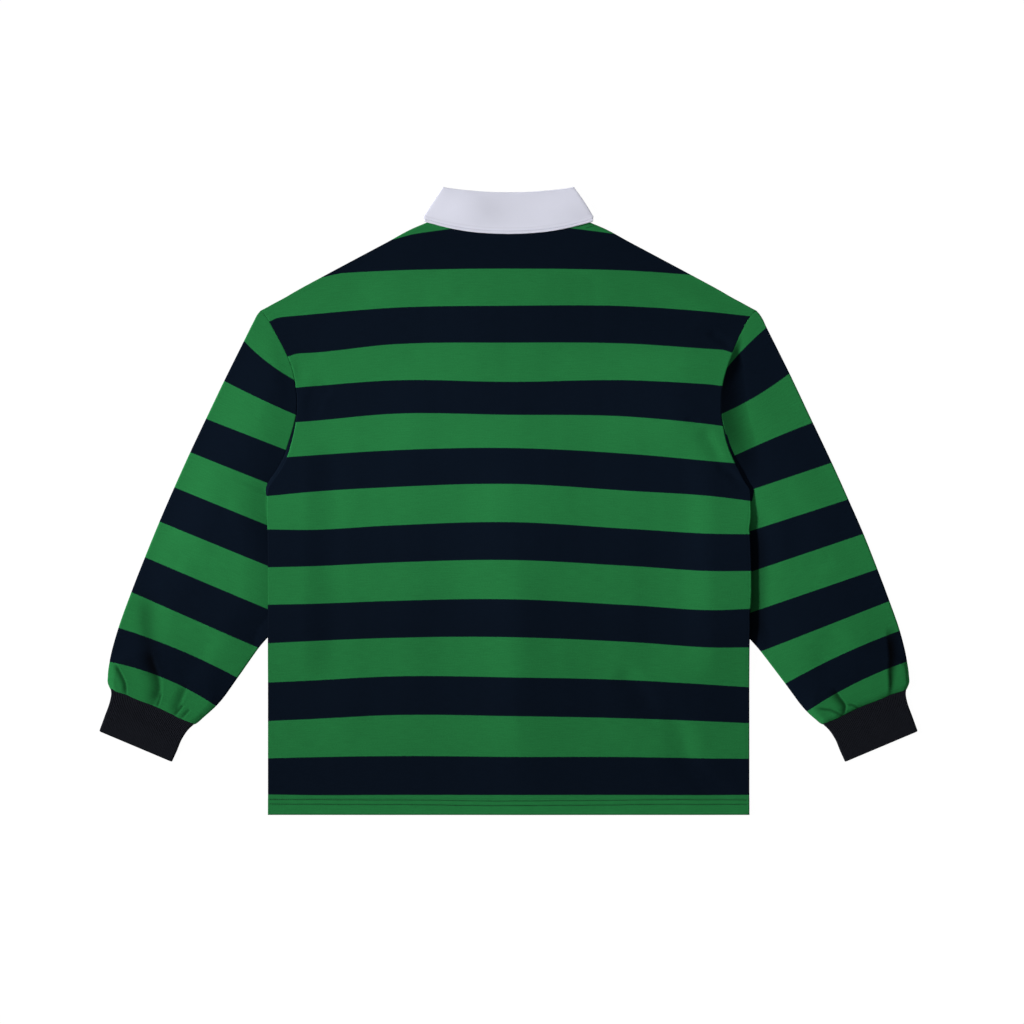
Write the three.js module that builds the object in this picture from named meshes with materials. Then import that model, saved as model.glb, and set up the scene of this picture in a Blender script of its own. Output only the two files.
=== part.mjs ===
// A long-sleeved polo shirt that lies flat on its front, with its back uppermost. The sleeves slope down beside
// the body and tuck a little way under it, and the collar is folded down over the back of the neck.
// Millimetres. X runs across the chest, Y from the hem to the collar, and Z up from the surface that the shirt
// lies on. The origin is the middle of the shirt's footprint.
import * as THREE from "three";

const { smoothstep, lerp, degToRad } = THREE.MathUtils;

// ---- Cloth ----
const CLOTH = 1.4; // heavy jersey of the body and sleeves, and the twill of the collar and placket
const RIB = 2.2; // doubled rib of the cuffs
const SEAM = 0.3; // clearance where two pieces are sewn together or lie on each other
const PLY = CLOTH + SEAM; // one layer of cloth and the clearance over it

// ---- Driving sizes ----
const HALF_CHEST = 288.6;
const HEM_Y = -376.5;
const HEM_DEPTH = 19; // the turned-up hem
const HEM_EXTRA = 0.9; // how much thicker the hem is than one layer
const HEM_STEP = 1.5; // length over which it thins to one layer
const NECK = { half: 84, y: 340.5, backDrop: 9.5, frontDrop: 88.5 }; // neck seam, from one side of the neck
const AIR = 2.2; // how far the back stands off the front, away from the edges
const EDGE_ROUND = 0.8; // how much a folded edge is rounded off, over EDGE_REACH
const EDGE_REACH = 1.2;

// The armhole seam from the underarm to the shoulder tip: how far out it lies on each side of the body.
const ARMHOLE = [
  { y: 8, left: 290, right: 289.4 },
  { y: 22, left: 286.5, right: 284.5 },
  { y: 34, left: 275.5, right: 278 },
  { y: 52, left: 266, right: 268.5 },
  { y: 72, left: 260, right: 261 },
  { y: 92, left: 255.8, right: 257 },
  { y: 115, left: 254, right: 255 },
  { y: 138, left: 255.7, right: 256.6 },
  { y: 160, left: 260.2, right: 262.3 },
  { y: 182, left: 269.5, right: 270.6 },
  { y: 205, left: 281.8, right: 281 },
  { y: 221, left: 291, right: 290.2 },
];

// The shoulder edge from the tip to the side of the neck.
const SHOULDER = [
  { y: 229.5, out: 297 },
  { y: 250.4, out: 259 },
  { y: 270.8, out: 220.5 },
  { y: 291, out: 182.2 },
  { y: 311, out: 144.5 },
  { y: 328.2, out: 112 },
  { y: 334, out: 98 },
  { y: NECK.y, out: NECK.half },
];

// Each hoop edge of a sleeve, from the shoulder tip to the cuff seam, as if on the right side: its end on the
// sleeve's outer edge, its end on the armhole or the inner edge, and how far its middle bows towards the cuff.
const SLEEVE = {
  right: [
    { hoop: 0, outX: 299.5, outY: 227.5, inX: 294, inY: 226, bow: 0 },
    { hoop: 1, outX: 309.5, outY: 209.5, inX: 262.4, inY: 159.7, bow: 0 },
    { hoop: 2, outX: 337, outY: 153, inX: 255.8, inY: 104, bow: 3 },
    { hoop: 3, outX: 364.5, outY: 94, inX: 268, inY: 54, bow: 1 },
    { hoop: 4, outX: 387, outY: 45.6, inX: 288, inY: 14, bow: 0 },
    { hoop: 5, outX: 406.6, outY: 1.7, inX: 271, inY: -42, bow: 0 },
    { hoop: 6, outX: 424.8, outY: -39.8, inX: 264, inY: -94, bow: 0 },
    { hoop: 7, outX: 441.5, outY: -82, inX: 272, inY: -140, bow: 0 },
    { hoop: 8, outX: 456, outY: -120.5, inX: 304.2, inY: -180, bow: 0 },
    { hoop: 9, outX: 468.4, outY: -156, inX: 333.5, inY: -218.4, bow: -3 },
    { hoop: 10, outX: 477.6, outY: -192.8, inX: 359.5, inY: -251, bow: -4 },
    { hoop: 11, outX: 477.2, outY: -226, inX: 378.1, inY: -268, bow: -2 },
  ],
  left: [
    { hoop: 0, outX: 299.5, outY: 227.5, inX: 294, inY: 226, bow: 0 },
    { hoop: 1, outX: 316.7, outY: 192.5, inX: 257.2, inY: 145, bow: 4 },
    { hoop: 2, outX: 341, outY: 144, inX: 255, inY: 103, bow: 0 },
    { hoop: 3, outX: 362.3, outY: 98.5, inX: 263.5, inY: 61, bow: 0 },
    { hoop: 4, outX: 381, outY: 58, inX: 286.5, inY: 21, bow: 0 },
    { hoop: 5, outX: 399.7, outY: 16.1, inX: 272, inY: -36, bow: 0 },
    { hoop: 6, outX: 417.6, outY: -25.1, inX: 264, inY: -88, bow: 0 },
    { hoop: 7, outX: 435, outY: -67.8, inX: 271, inY: -137, bow: 0 },
    { hoop: 8, outX: 451.4, outY: -109.7, inX: 301.2, inY: -175.7, bow: 0 },
    { hoop: 9, outX: 466.8, outY: -152.4, inX: 326.4, inY: -211.4, bow: -4 },
    { hoop: 10, outX: 478, outY: -193.1, inX: 352.4, inY: -244.3, bow: -8 },
    { hoop: 11, outX: 477.2, outY: -225.4, inX: 378.1, inY: -268, bow: -2 },
  ],
};
const UNDERARM_HOOP = 4; // the sleeve's hoop edge that ends at the underarm
const LAST_HOOP = 11; // the cuff seam

// How far the sleeve's upper layer swells above its lower one at each stage of its length.
const SWELL = [
  { hoop: 0, rise: 0.2 },
  { hoop: 2, rise: 1.4 },
  { hoop: 5, rise: 2.6 },
  { hoop: 8, rise: 2.8 },
  { hoop: 10.3, rise: 3.5 },
  { hoop: 11, rise: 2.1 },
];

// Folds gathered into the cuff seam: at is the place across the sleeve, from its outer edge.
const GATHERS = {
  right: [
    { at: 0.2, width: 0.06, depth: 2.6, length: 62 },
    { at: 0.55, width: 0.06, depth: 1.6, length: 24 },
    { at: 0.78, width: 0.07, depth: 2.4, length: 38 },
  ],
  left: [
    { at: 0.18, width: 0.06, depth: 2.0, length: 36 },
    { at: 0.5, width: 0.07, depth: 2.8, length: 90 },
    { at: 0.83, width: 0.07, depth: 2.2, length: 44 },
  ],
};

const GATHER_SPAN = 42; // length of sleeve from one hoop edge to the next, near the cuff

// How the swell grows in from the sleeve's edges, and the strip along its inner edge that the body presses flat.
const SWELL_FROM = { outer: 34, inner: 40 };
const PRESSED = { width: 30, fadeFrom: 7.4, fadeTo: 8.4 };

// Soft troughs in the back: where each runs, how wide it is and how deep.
const BACK_TROUGHS = [
  { x1: 134, y1: -205, x2: 254, y2: -340, width: 24, depth: 1.7 },
  { x1: -170, y1: 176, x2: -247, y2: 118, width: 24, depth: 1.7 },
  { x1: 206, y1: 186, x2: 252, y2: 142, width: 18, depth: 1.6 },
  { x1: -250, y1: -10, x2: -168, y2: -120, width: 26, depth: 1.1 },
  { x1: 236, y1: 20, x2: 150, y2: -70, width: 26, depth: 1.2 },
];
const CENTRE_RIDGE = { height: 0.9, width: 22 }; // the soft line down the middle, from being folded in half

// Where the body is lifted by what lies under it: it rises from one distance from the middle to another, and
// from one height to another.
const TUCK = { innerX: 205, outerX: 248, low: -226, lowFull: -182, highFull: 30, high: 95 };
const LEAF = { innerX: 104, outerX: 190, low: 140, full: 195 };
const BUTTON = { radius: 5.8, depth: 2, rim: 0.5, rimWidth: 1.4, bevel: 0.3 };
const PLACKET = { half: 16, low: 84, high: 250.5, spread: 76, foot: 24, full: 78, fadeFrom: 258, fadeTo: 300 };
const FREE_BACK = { fromEdge: 62, fadeFrom: 250, fadeTo: 300 }; // where the back stands off the front

// ---- How finely the walls are divided ----
const BODY_ROWS = 11; // between the hem and the underarm
const EDGE_COLUMNS = [55, 30, 12, EDGE_REACH, 0]; // from the side edge
const MIDDLE_COLUMNS = 6;
const NARROW = 200; // below this half width the edge columns draw together
const FRONT_SAG = { y: 60, depth: 46 }; // the front's rows bend towards its deeper neckline from this height
const SLEEVE_ROWS = [0.25, 0.6, 1, 1.5, 2, 2.5, 3, 3.5, 4, 4.6, 5.1, 5.6, 6, 6.3, 6.55, 6.8, 6.93]; // hoops on
const SLEEVE_UNDER = [1, 0.7, 0.4, 0.15]; // columns of the lower layer, as shares of the width
const SLEEVE_OVER = [0, 0.05, 0.12, 0.19, 0.26, 0.34, 0.42, 0.5, 0.58, 0.66, 0.74, 0.8, 0.86, 0.93, 1];
const CUFF_UNDER = 6; // flat steps of a cuff's underside
const LATHE_STEPS = 24;

// ---- Small helpers ----

// The value of one column of a table at a place between its rows.
function read(table, key, at, by) {
  const last = table.length - 1;
  const next = table.findIndex((row) => row[by] >= at);
  const b = next < 0 ? last : Math.max(next, 1);
  const [low, high] = [table[b - 1], table[b]];
  const share = THREE.MathUtils.clamp((at - low[by]) / (high[by] - low[by]), 0, 1);
  return lerp(low[key], high[key], share);
}

// A closed wall of cloth between an upper and a lower grid of points, each a list of rows. A round wall, such as
// a cuff, also joins each row's last point to its first.
function wall(upper, lower, round = false) {
  const [rows, columns] = [upper.length, upper[0].length];
  const points = [...upper.flat(), ...lower.flat()];
  const under = rows * columns;
  const at = (i, j) => i * columns + (j % columns);
  const faces = [];
  const quad = (a, b, c, d) => faces.push(a, b, c, a, c, d);
  const cells = round ? columns : columns - 1;
  for (let i = 0; i < rows - 1; i++) {
    for (let j = 0; j < cells; j++) {
      const corners = [at(i, j), at(i, j + 1), at(i + 1, j + 1), at(i + 1, j)];
      quad(...corners);
      quad(...corners.map((n) => n + under).reverse());
    }
    if (!round) {
      quad(at(i, 0), at(i + 1, 0), at(i + 1, 0) + under, at(i, 0) + under);
      const j = columns - 1;
      quad(at(i, j) + under, at(i + 1, j) + under, at(i + 1, j), at(i, j));
    }
  }
  for (let j = 0; j < cells; j++) {
    const [far, i] = [at(0, j), rows - 1];
    quad(far + under, at(0, j + 1) + under, at(0, j + 1), far);
    quad(at(i, j), at(i, j + 1), at(i, j + 1) + under, at(i, j) + under);
  }
  return facingOut(points, faces);
}

// A geometry of those faces, turned so that they point out of the solid whichever way the rows ran.
function facingOut(points, faces) {
  const volume = faces.reduce((sum, _, k) => {
    if (k % 3) return sum;
    const [a, b, c] = [0, 1, 2].map((n) => points[faces[k + n]]);
    return sum + a.clone().cross(b).dot(c);
  }, 0);
  const geometry = new THREE.BufferGeometry().setFromPoints(points);
  geometry.setIndex(volume < 0 ? faces.reverse() : faces);
  geometry.computeVertexNormals();
  return geometry;
}

// ---- How high the layers lie ----

const PLACKET_Z = BUTTON.depth + SEAM; // the placket lies on its buttons
const OVER_PLACKET = PLACKET_Z + PLY;

function overSleeve(x, y) {
  const beside = smoothstep(Math.abs(x), TUCK.innerX, TUCK.outerX);
  const along = smoothstep(y, TUCK.low, TUCK.lowFull) * (1 - smoothstep(y, TUCK.highFull, TUCK.high));
  return 2 * PLY * beside * along;
}

function overLeaf(x, y) {
  return PLY * (1 - smoothstep(Math.abs(x), LEAF.innerX, LEAF.outerX)) * smoothstep(y, LEAF.low, LEAF.full);
}

function overPlacket(x, y) {
  const beside = 1 - smoothstep(Math.abs(x), PLACKET.half + 3, PLACKET.spread);
  return OVER_PLACKET * beside * smoothstep(y, PLACKET.foot, PLACKET.full);
}

// The underside of the front, on whatever it lies on: a tucked sleeve, a collar leaf or the placket.
function frontLow(x, y) {
  return Math.max(overSleeve(x, y), overLeaf(x, y), overPlacket(x, y));
}

function trough(x, y, { x1, y1, x2, y2, width, depth }) {
  const [dx, dy] = [x2 - x1, y2 - y1];
  const along = THREE.MathUtils.clamp(((x - x1) * dx + (y - y1) * dy) / (dx * dx + dy * dy), 0, 1);
  const off = Math.hypot(x - x1 - along * dx, y - y1 - along * dy) / width;
  return depth * Math.exp(-off * off);
}

// The underside of the back. It rests on the front at the sides and stands off it in the middle.
function backLow(x, y, edge) {
  const placketEnd = 1 - smoothstep(y, PLACKET.fadeFrom, PLACKET.fadeTo);
  const rest = Math.max(overSleeve(x, y), overLeaf(x, y), overPlacket(x, y) * placketEnd) + PLY;
  const ridge = CENTRE_RIDGE.height * Math.exp(-((x / CENTRE_RIDGE.width) ** 2));
  const folds = BACK_TROUGHS.reduce((sum, fold) => sum + trough(x, y, fold), 0);
  const free = smoothstep(edge, 0, FREE_BACK.fromEdge)
    * (1 - smoothstep(y, FREE_BACK.fadeFrom, FREE_BACK.fadeTo));
  return rest + hem(y) + free * Math.max(0, AIR + ridge - folds);
}

// The hem's extra thickness at this height.
function hem(y) {
  const top = HEM_Y + HEM_DEPTH;
  return HEM_EXTRA * (1 - smoothstep(y, top, top + HEM_STEP));
}

// ---- Body panels ----

// The rows of a body panel from the hem to the neck: the height of their ends and how far out these lie.
function bodyRows() {
  const hemRows = [0, EDGE_REACH, HEM_DEPTH, HEM_DEPTH + HEM_STEP].map((rise) => HEM_Y + rise);
  const below = [...hemRows];
  for (let k = 1; k < BODY_ROWS; k++) below.push(lerp(hemRows.at(-1), ARMHOLE[0].y, k / BODY_ROWS));
  return [
    ...below.map((y) => ({ y, left: HALF_CHEST, right: HALF_CHEST })),
    ...ARMHOLE,
    ...SHOULDER.map(({ y, out }) => ({ y, left: out, right: out })),
  ];
}

// The places of the columns in one half of a row, from the middle out: close together at the edge.
function columnsTo(end) {
  const near = Math.min(1, end / NARROW);
  const beside = EDGE_COLUMNS.map((gap) => end - (gap > EDGE_REACH ? gap * near : gap));
  const places = [0];
  for (let k = 0; k < MIDDLE_COLUMNS - 1; k++) {
    places.push(lerp(PLACKET.half + 3, beside[0], k / (MIDDLE_COLUMNS - 1)));
  }
  return [...places, ...beside];
}

// A panel as a wall. Its rows sag in the middle towards the neck, by sag(y) at the row that ends at y.
function panel(sag, heights) {
  const [upper, lower] = [[], []];
  for (const { y, left, right } of bodyRows()) {
    const places = [
      ...columnsTo(left).reverse().map((d) => ({ x: -d, half: left })),
      ...columnsTo(right).slice(1).map((d) => ({ x: d, half: right })),
    ];
    const spots = places.map(({ x, half }) => {
      const here = y - sag(y) * (1 - (x / half) ** 2) ** lerp(2, 0.5, smoothstep(y, ARMHOLE.at(-1).y, NECK.y));
      const edge = half - Math.abs(x);
      const rim = Math.min(edge, y - HEM_Y);
      const rounded = EDGE_ROUND * (1 - Math.min(1, rim / EDGE_REACH));
      return { x, y: here, ...heights(x, here, edge, rounded) };
    });
    upper.push(spots.map(({ x, y: at, high }) => new THREE.Vector3(x, at, high)));
    lower.push(spots.map(({ x, y: at, low }) => new THREE.Vector3(x, at, low)));
  }
  return wall(upper, lower);
}

function backPanel() {
  const sag = (y) => NECK.backDrop * smoothstep(y, ARMHOLE.at(-1).y, NECK.y);
  return panel(sag, (x, y, edge, rounded) => {
    const low = backLow(x, y, edge);
    return { low, high: low + CLOTH + hem(y) - rounded };
  });
}

function frontPanel() {
  const tip = ARMHOLE.at(-1).y;
  const sag = (y) => FRONT_SAG.depth * smoothstep(y, FRONT_SAG.y, tip)
    + (NECK.frontDrop - FRONT_SAG.depth) * smoothstep(y, tip, NECK.y);
  return panel(sag, (x, y, edge, rounded) => {
    const low = frontLow(x, y);
    return { low: low + rounded, high: low + CLOTH + hem(y) };
  });
}

// ---- Sleeves ----

// A line across a sleeve or cuff from its outer edge to its inner one: how wide it is, and the spot at a
// distance along it and a height. bow is how far its middle lies towards the cuff's end.
function across(outer, inner, bow, mirror) {
  const wide = outer.distanceTo(inner);
  const way = inner.clone().sub(outer).divideScalar(wide);
  const down = new THREE.Vector2(-way.y, way.x);
  const spot = (distance, z) => {
    const share = distance / wide;
    const p = outer.clone().addScaledVector(way, distance).addScaledVector(down, 4 * bow * share * (1 - share));
    return new THREE.Vector3(mirror * p.x, p.y, z);
  };
  return { wide, spot };
}

// The ends of a line across a sleeve at a hoop coordinate: on its outer edge and on its inner one.
function sleeveEnds(table, hoop) {
  const curve = (x, y) => new THREE.SplineCurve(table.map((row) => new THREE.Vector2(row[x], row[y])));
  const [outer, inner] = [curve("outX", "outY"), curve("inX", "inY")].map((c) => c.getPoint(hoop / LAST_HOOP));
  return { outer, inner };
}

// The rows of a sleeve: one at each station of the armhole, from the tip down, and then on to the cuff seam.
function sleeveRows(side) {
  const upwards = [...SLEEVE[side]].reverse();
  const top = [...ARMHOLE].reverse().map((station) => ({
    hoop: read(upwards, "hoop", station.y, "inY"),
    seam: new THREE.Vector2(station[side] + SEAM, station.y),
  }));
  const below = SLEEVE_ROWS.map((past) => UNDERARM_HOOP + past).filter((hoop) => hoop > top.at(-1).hoop + 0.1);
  return [...top, ...below.map((hoop) => ({ hoop })), { hoop: LAST_HOOP }];
}

// How high the sleeve's upper layer stands above where it would lie pressed flat.
function sleeveRise(side, hoop, share, width) {
  const swell = read(SWELL, "rise", hoop, "hoop");
  const begins = smoothstep(hoop, UNDERARM_HOOP - 1, UNDERARM_HOOP);
  const pressed = PRESSED.width * begins * (1 - smoothstep(hoop, PRESSED.fadeFrom, PRESSED.fadeTo));
  const [fromOuter, fromInner] = [share * width, (1 - share) * width];
  const body = smoothstep(fromOuter, 0, SWELL_FROM.outer)
    * smoothstep(fromInner, pressed, pressed + SWELL_FROM.inner);
  const toCuff = (LAST_HOOP - hoop) * GATHER_SPAN;
  const folds = GATHERS[side].reduce((sum, { at, width: w, depth, length }) => {
    const reach = 1 - smoothstep(toCuff, length * 0.4, length);
    return sum + depth * reach * Math.exp(-(((share - at) / w) ** 2));
  }, 0);
  return Math.max(0, swell * body - folds);
}

// A sleeve is cut flat and wrapped round: its lower layer, the fold along its outer edge and its upper layer,
// with its two long edges meeting at the underarm seam.
function sleeve(side) {
  const mirror = side === "left" ? -1 : 1;
  const fold = CLOTH + SEAM / 2; // outer radius of the folded edge
  const [outside, inside] = [[], []];
  for (const { hoop, seam } of sleeveRows(side)) {
    const { outer, inner } = sleeveEnds(SLEEVE[side], hoop);
    const bow = read(SLEEVE[side], "bow", hoop, "hoop");
    const { wide, spot } = across(outer, seam ?? inner, bow, mirror);
    const rise = (distance) => sleeveRise(side, hoop, distance / wide, outer.distanceTo(inner));
    const bottom = SLEEVE_UNDER.map((share) => Math.max(share * wide, fold));
    const arc = [-90, -45, 0, 45].map(degToRad);
    const top = SLEEVE_OVER.map((share) => lerp(fold, wide, share));
    outside.push([
      ...bottom.map((d, k) => spot(d, k ? 0 : EDGE_ROUND)),
      ...arc.map((a) => spot(fold - fold * Math.cos(a), fold + fold * Math.sin(a))),
      ...top.map((d) => spot(d, 2 * fold + rise(d) - (d === wide ? EDGE_ROUND : 0))),
    ]);
    const small = SEAM / 2;
    inside.push([
      ...bottom.map((d) => spot(d, CLOTH)),
      ...arc.map((a) => spot(fold - small * Math.cos(a), fold + small * Math.sin(a))),
      ...top.map((d) => spot(d, PLY + rise(d))),
    ]);
  }
  return wall(outside, inside);
}

// ---- Cuffs ----

// The rows of a cuff from its seam to its end: where its outer and inner edges lie, on the right side.
const CUFF = [
  { outX: 477.1, outY: -226.6, inX: 378.7, inY: -268.6, bow: -2, ribs: 0.8 },
  { outX: 477.4, outY: -233, inX: 386.6, inY: -277.6, bow: -1.6, ribs: 1 },
  { outX: 482.4, outY: -250.4, inX: 390.2, inY: -284.5, bow: -0.8, ribs: 1 },
  { outX: 491.4, outY: -276.6, inX: 403.4, inY: -313.2, bow: 0, ribs: 0.4 },
];
const CUFF_HIGH = 2 * RIB + 2 * SEAM; // its two layers pressed flat
const RIBS = 46; // across the upper side
const RIB_DEPTH = 0.45;

// A cuff is a tube of doubled rib pressed flat. The ribs of its upper side are raised; its underside is plain.
function cuff(side) {
  const mirror = side === "left" ? -1 : 1;
  const radius = CUFF_HIGH / 2;
  const [outside, inside] = [[], []];
  const arc = [-60, -20, 20, 60].map(degToRad);
  for (const { outX, outY, inX, inY, bow, ribs } of CUFF) {
    const { wide, spot } = across(new THREE.Vector2(outX, outY), new THREE.Vector2(inX, inY), bow, mirror);
    const flat = wide - 2 * radius;
    const ring = (r, ribbed) => {
      const points = [];
      for (let k = CUFF_UNDER; k >= 0; k--) points.push(spot(radius + (flat * k) / CUFF_UNDER, radius - r));
      arc.forEach((a) => points.push(spot(radius - r * Math.cos(a), radius + r * Math.sin(a))));
      for (let k = 0; k <= 2 * RIBS; k++) {
        const groove = k % 2 ? 0 : ribbed * RIB_DEPTH;
        points.push(spot(radius + (flat * k) / (2 * RIBS), radius + r - groove));
      }
      arc.forEach((a) => points.push(spot(wide - radius + r * Math.cos(a), radius - r * Math.sin(a))));
      return points;
    };
    outside.push(ring(radius, ribs));
    inside.push(ring(radius - RIB, 0));
  }
  return wall(outside, inside, true);
}

// ---- Collar ----

// Sections of the collar from the middle of the back to the front opening, on the right side. round is the
// angle round the neck seam, roll the fold at the top of the stand, stitch the line where the turned edge
// starts, edge the collar's free edge, and turn how far the section has gone round the side of the neck.
const COLLAR = [
  { round: 90, rollX: 0, rollY: 369.6, stitchX: 0, stitchY: 326.4, edgeX: 0, edgeY: 320, turn: 0 },
  { round: 74, rollX: 22, rollY: 370, stitchX: 27, stitchY: 327.4, edgeX: 26, edgeY: 320.9, turn: 0 },
  { round: 54, rollX: 45, rollY: 371.6, stitchX: 55, stitchY: 330.6, edgeX: 54, edgeY: 323.9, turn: 0 },
  { round: 30, rollX: 64, rollY: 373.4, stitchX: 81, stitchY: 335.6, edgeX: 79, edgeY: 329, turn: 0 },
  { round: 0, rollX: 75.6, rollY: 374.8, stitchX: 98.4, stitchY: 340.2, edgeX: 97.3, edgeY: 334, turn: 0 },
  { round: 0, rollX: 75.6, rollY: 374.8, stitchX: 98.4, stitchY: 340.2, edgeX: 97.3, edgeY: 334, turn: 45 },
  { round: 0, rollX: 75.6, rollY: 374.8, stitchX: 98.4, stitchY: 340.2, edgeX: 97.3, edgeY: 334, turn: 90 },
  { round: 0, rollX: 75.6, rollY: 374.8, stitchX: 98.4, stitchY: 340.2, edgeX: 97.3, edgeY: 334, turn: 135 },
  { round: 0, rollX: 75.6, rollY: 374.8, stitchX: 98.4, stitchY: 340.2, edgeX: 97.3, edgeY: 334, turn: 180 },
  { round: 18, rollX: 62, rollY: 350, stitchX: 90, stitchY: 309, edgeX: 87.5, edgeY: 303, turn: 180 },
  { round: 38, rollX: 44, rollY: 322, stitchX: 78, stitchY: 275, edgeX: 75, edgeY: 269, turn: 180 },
  { round: 60, rollX: 24, rollY: 290, stitchX: 65, stitchY: 241, edgeX: 62, edgeY: 235, turn: 180 },
  { round: 84, rollX: 8, rollY: 265, stitchX: 53.5, stitchY: 214, edgeX: 50.5, edgeY: 209, turn: 180 },
];
const COLLAR_MIDDLE_Z = PLY * 2 - SEAM / 2; // half way up the four layers
const SIDE_OUT = new THREE.Vector2(0.837, 0.547); // away from the fold at the side of the neck

// One section of the collar: up the stand from the neck seam, over the roll and down to the free edge.
function collarSection(row, mirror) {
  const turn = degToRad(row.turn);
  const angle = degToRad(row.round);
  const front = row.turn === 180;
  const drop = front ? NECK.frontDrop : NECK.backDrop;
  const inset = NECK.half - (front ? 2 * SEAM : SEAM);
  const lift = front ? 2 * SEAM : SEAM;
  const neck = new THREE.Vector2(inset * Math.cos(angle), NECK.y + lift - drop * Math.sin(angle));
  const roll = new THREE.Vector2(row.rollX, row.rollY);
  const stitch = new THREE.Vector2(row.stitchX, row.stitchY);
  const edge = new THREE.Vector2(row.edgeX, row.edgeY);
  // level is how far the point lies outwards, away from the inside of the neck
  const place = (p, level) => {
    const out = level * Math.sin(turn);
    const up = COLLAR_MIDDLE_Z + level * Math.cos(turn);
    return new THREE.Vector3(mirror * (p.x + out * SIDE_OUT.x), p.y + out * SIDE_OUT.y, up);
  };
  const bend = PLY / 2; // the roll's radius at the middle of the cloth
  const skin = (side) => {
    const r = bend + (side * CLOTH) / 2;
    const [toNeck, toEdge] = [neck, stitch].map((end) => end.clone().sub(roll).normalize());
    const over = [-90, -45, 0, 45, 90].map((degrees) => {
      const a = degToRad(degrees);
      const way = toNeck.clone().lerp(toEdge, (1 + Math.sin(a)) / 2);
      return place(roll.clone().addScaledVector(way, bend - r * Math.cos(a)), PLY + r * Math.sin(a));
    });
    return [place(neck, PLY - r), ...over, place(stitch, PLY + r), place(edge, PLY + r)];
  };
  return { outside: skin(1), inside: skin(-1) };
}

function collar() {
  const sections = [
    ...[...COLLAR].reverse().map((row) => collarSection(row, -1)),
    ...COLLAR.slice(1).map((row) => collarSection(row, 1)),
  ];
  return wall(sections.map((s) => s.outside), sections.map((s) => s.inside));
}

// ---- Placket and buttons, on the front ----

function placket() {
  const length = PLACKET.high - PLACKET.low;
  const band = new THREE.BoxGeometry(2 * PLACKET.half, length, CLOTH);
  band.translate(0, PLACKET.low + length / 2, PLACKET_Z + CLOTH / 2);
  return band;
}

const BUTTON_Y = [234, 178, 122];

// A flat button with a raised rim on the side that faces away from the shirt.
function button() {
  const { radius, depth, rim, rimWidth, bevel } = BUTTON;
  const profile = [
    [0, rim], [radius - rimWidth, rim], [radius - rimWidth + rim, 0], [radius - bevel, 0],
    [radius, bevel], [radius, depth - bevel], [radius - bevel, depth], [0, depth],
  ].map(([r, z]) => new THREE.Vector2(r, z));
  return new THREE.LatheGeometry(profile, LATHE_STEPS).rotateX(Math.PI / 2);
}

// ---- The shirt ----

const GREEN_JERSEY = new THREE.MeshStandardMaterial({ color: 0x25773f, roughness: 0.9, metalness: 0 });
const WHITE_TWILL = new THREE.MeshStandardMaterial({ color: 0xdadbe8, roughness: 0.85, metalness: 0 });
const BLACK_RIB = new THREE.MeshStandardMaterial({ color: 0x15171c, roughness: 0.95, metalness: 0 });
const WHITE_RESIN = new THREE.MeshStandardMaterial({ color: 0xe4e4e6, roughness: 0.4, metalness: 0 });

const shirt = new THREE.Group();

function add(name, geometry, material, z = 0, y = 0) {
  const mesh = new THREE.Mesh(geometry, material);
  mesh.name = name;
  mesh.position.set(0, y, z);
  shirt.add(mesh);
}

add("back_panel", backPanel(), GREEN_JERSEY);
add("front_panel", frontPanel(), GREEN_JERSEY);
for (const side of ["left", "right"]) {
  add(`sleeve_${side}`, sleeve(side), GREEN_JERSEY);
  add(`cuff_${side}`, cuff(side), BLACK_RIB);
}
add("collar", collar(), WHITE_TWILL);
add("placket", placket(), WHITE_TWILL);
BUTTON_Y.forEach((y, k) => add(`button_${k + 1}`, button(), WHITE_RESIN, 0, y));

export default shirt;
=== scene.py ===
import math

import bpy
import numpy as np
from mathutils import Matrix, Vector


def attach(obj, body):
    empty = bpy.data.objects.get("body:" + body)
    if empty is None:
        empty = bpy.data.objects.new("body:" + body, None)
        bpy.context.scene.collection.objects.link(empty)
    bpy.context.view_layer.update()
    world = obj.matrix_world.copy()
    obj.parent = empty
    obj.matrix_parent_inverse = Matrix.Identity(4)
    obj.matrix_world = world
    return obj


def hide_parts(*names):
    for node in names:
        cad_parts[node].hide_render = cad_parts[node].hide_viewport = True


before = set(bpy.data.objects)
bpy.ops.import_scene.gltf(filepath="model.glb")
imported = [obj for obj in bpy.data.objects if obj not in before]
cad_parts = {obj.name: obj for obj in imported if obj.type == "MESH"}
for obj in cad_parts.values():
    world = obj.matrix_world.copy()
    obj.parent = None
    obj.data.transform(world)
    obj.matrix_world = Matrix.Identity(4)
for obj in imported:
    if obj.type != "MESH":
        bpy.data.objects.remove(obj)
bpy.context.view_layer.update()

# ---- Camera, floor and light ----
# The shirt is laid on a white table and seen from straight above through a long lens. One big soft box
# stands far off to its left and low down, and a pale room fills in the shadows.
MM = 0.001  # the sizes below are in millimetres
scene = bpy.context.scene
scene.view_settings.view_transform = "Standard"

VIEW_WIDTH = 1228.8 * MM
VIEW_MIDDLE = (4.2 * MM, -13.2 * MM)
CAMERA_HEIGHT = 6.0
camera = bpy.data.objects.new("camera", bpy.data.cameras.new("camera"))
camera.data.lens = camera.data.sensor_width * CAMERA_HEIGHT / VIEW_WIDTH
camera.data.clip_end = 50
camera.location = (*VIEW_MIDDLE, CAMERA_HEIGHT)
scene.collection.objects.link(camera)
scene.camera = camera

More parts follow.
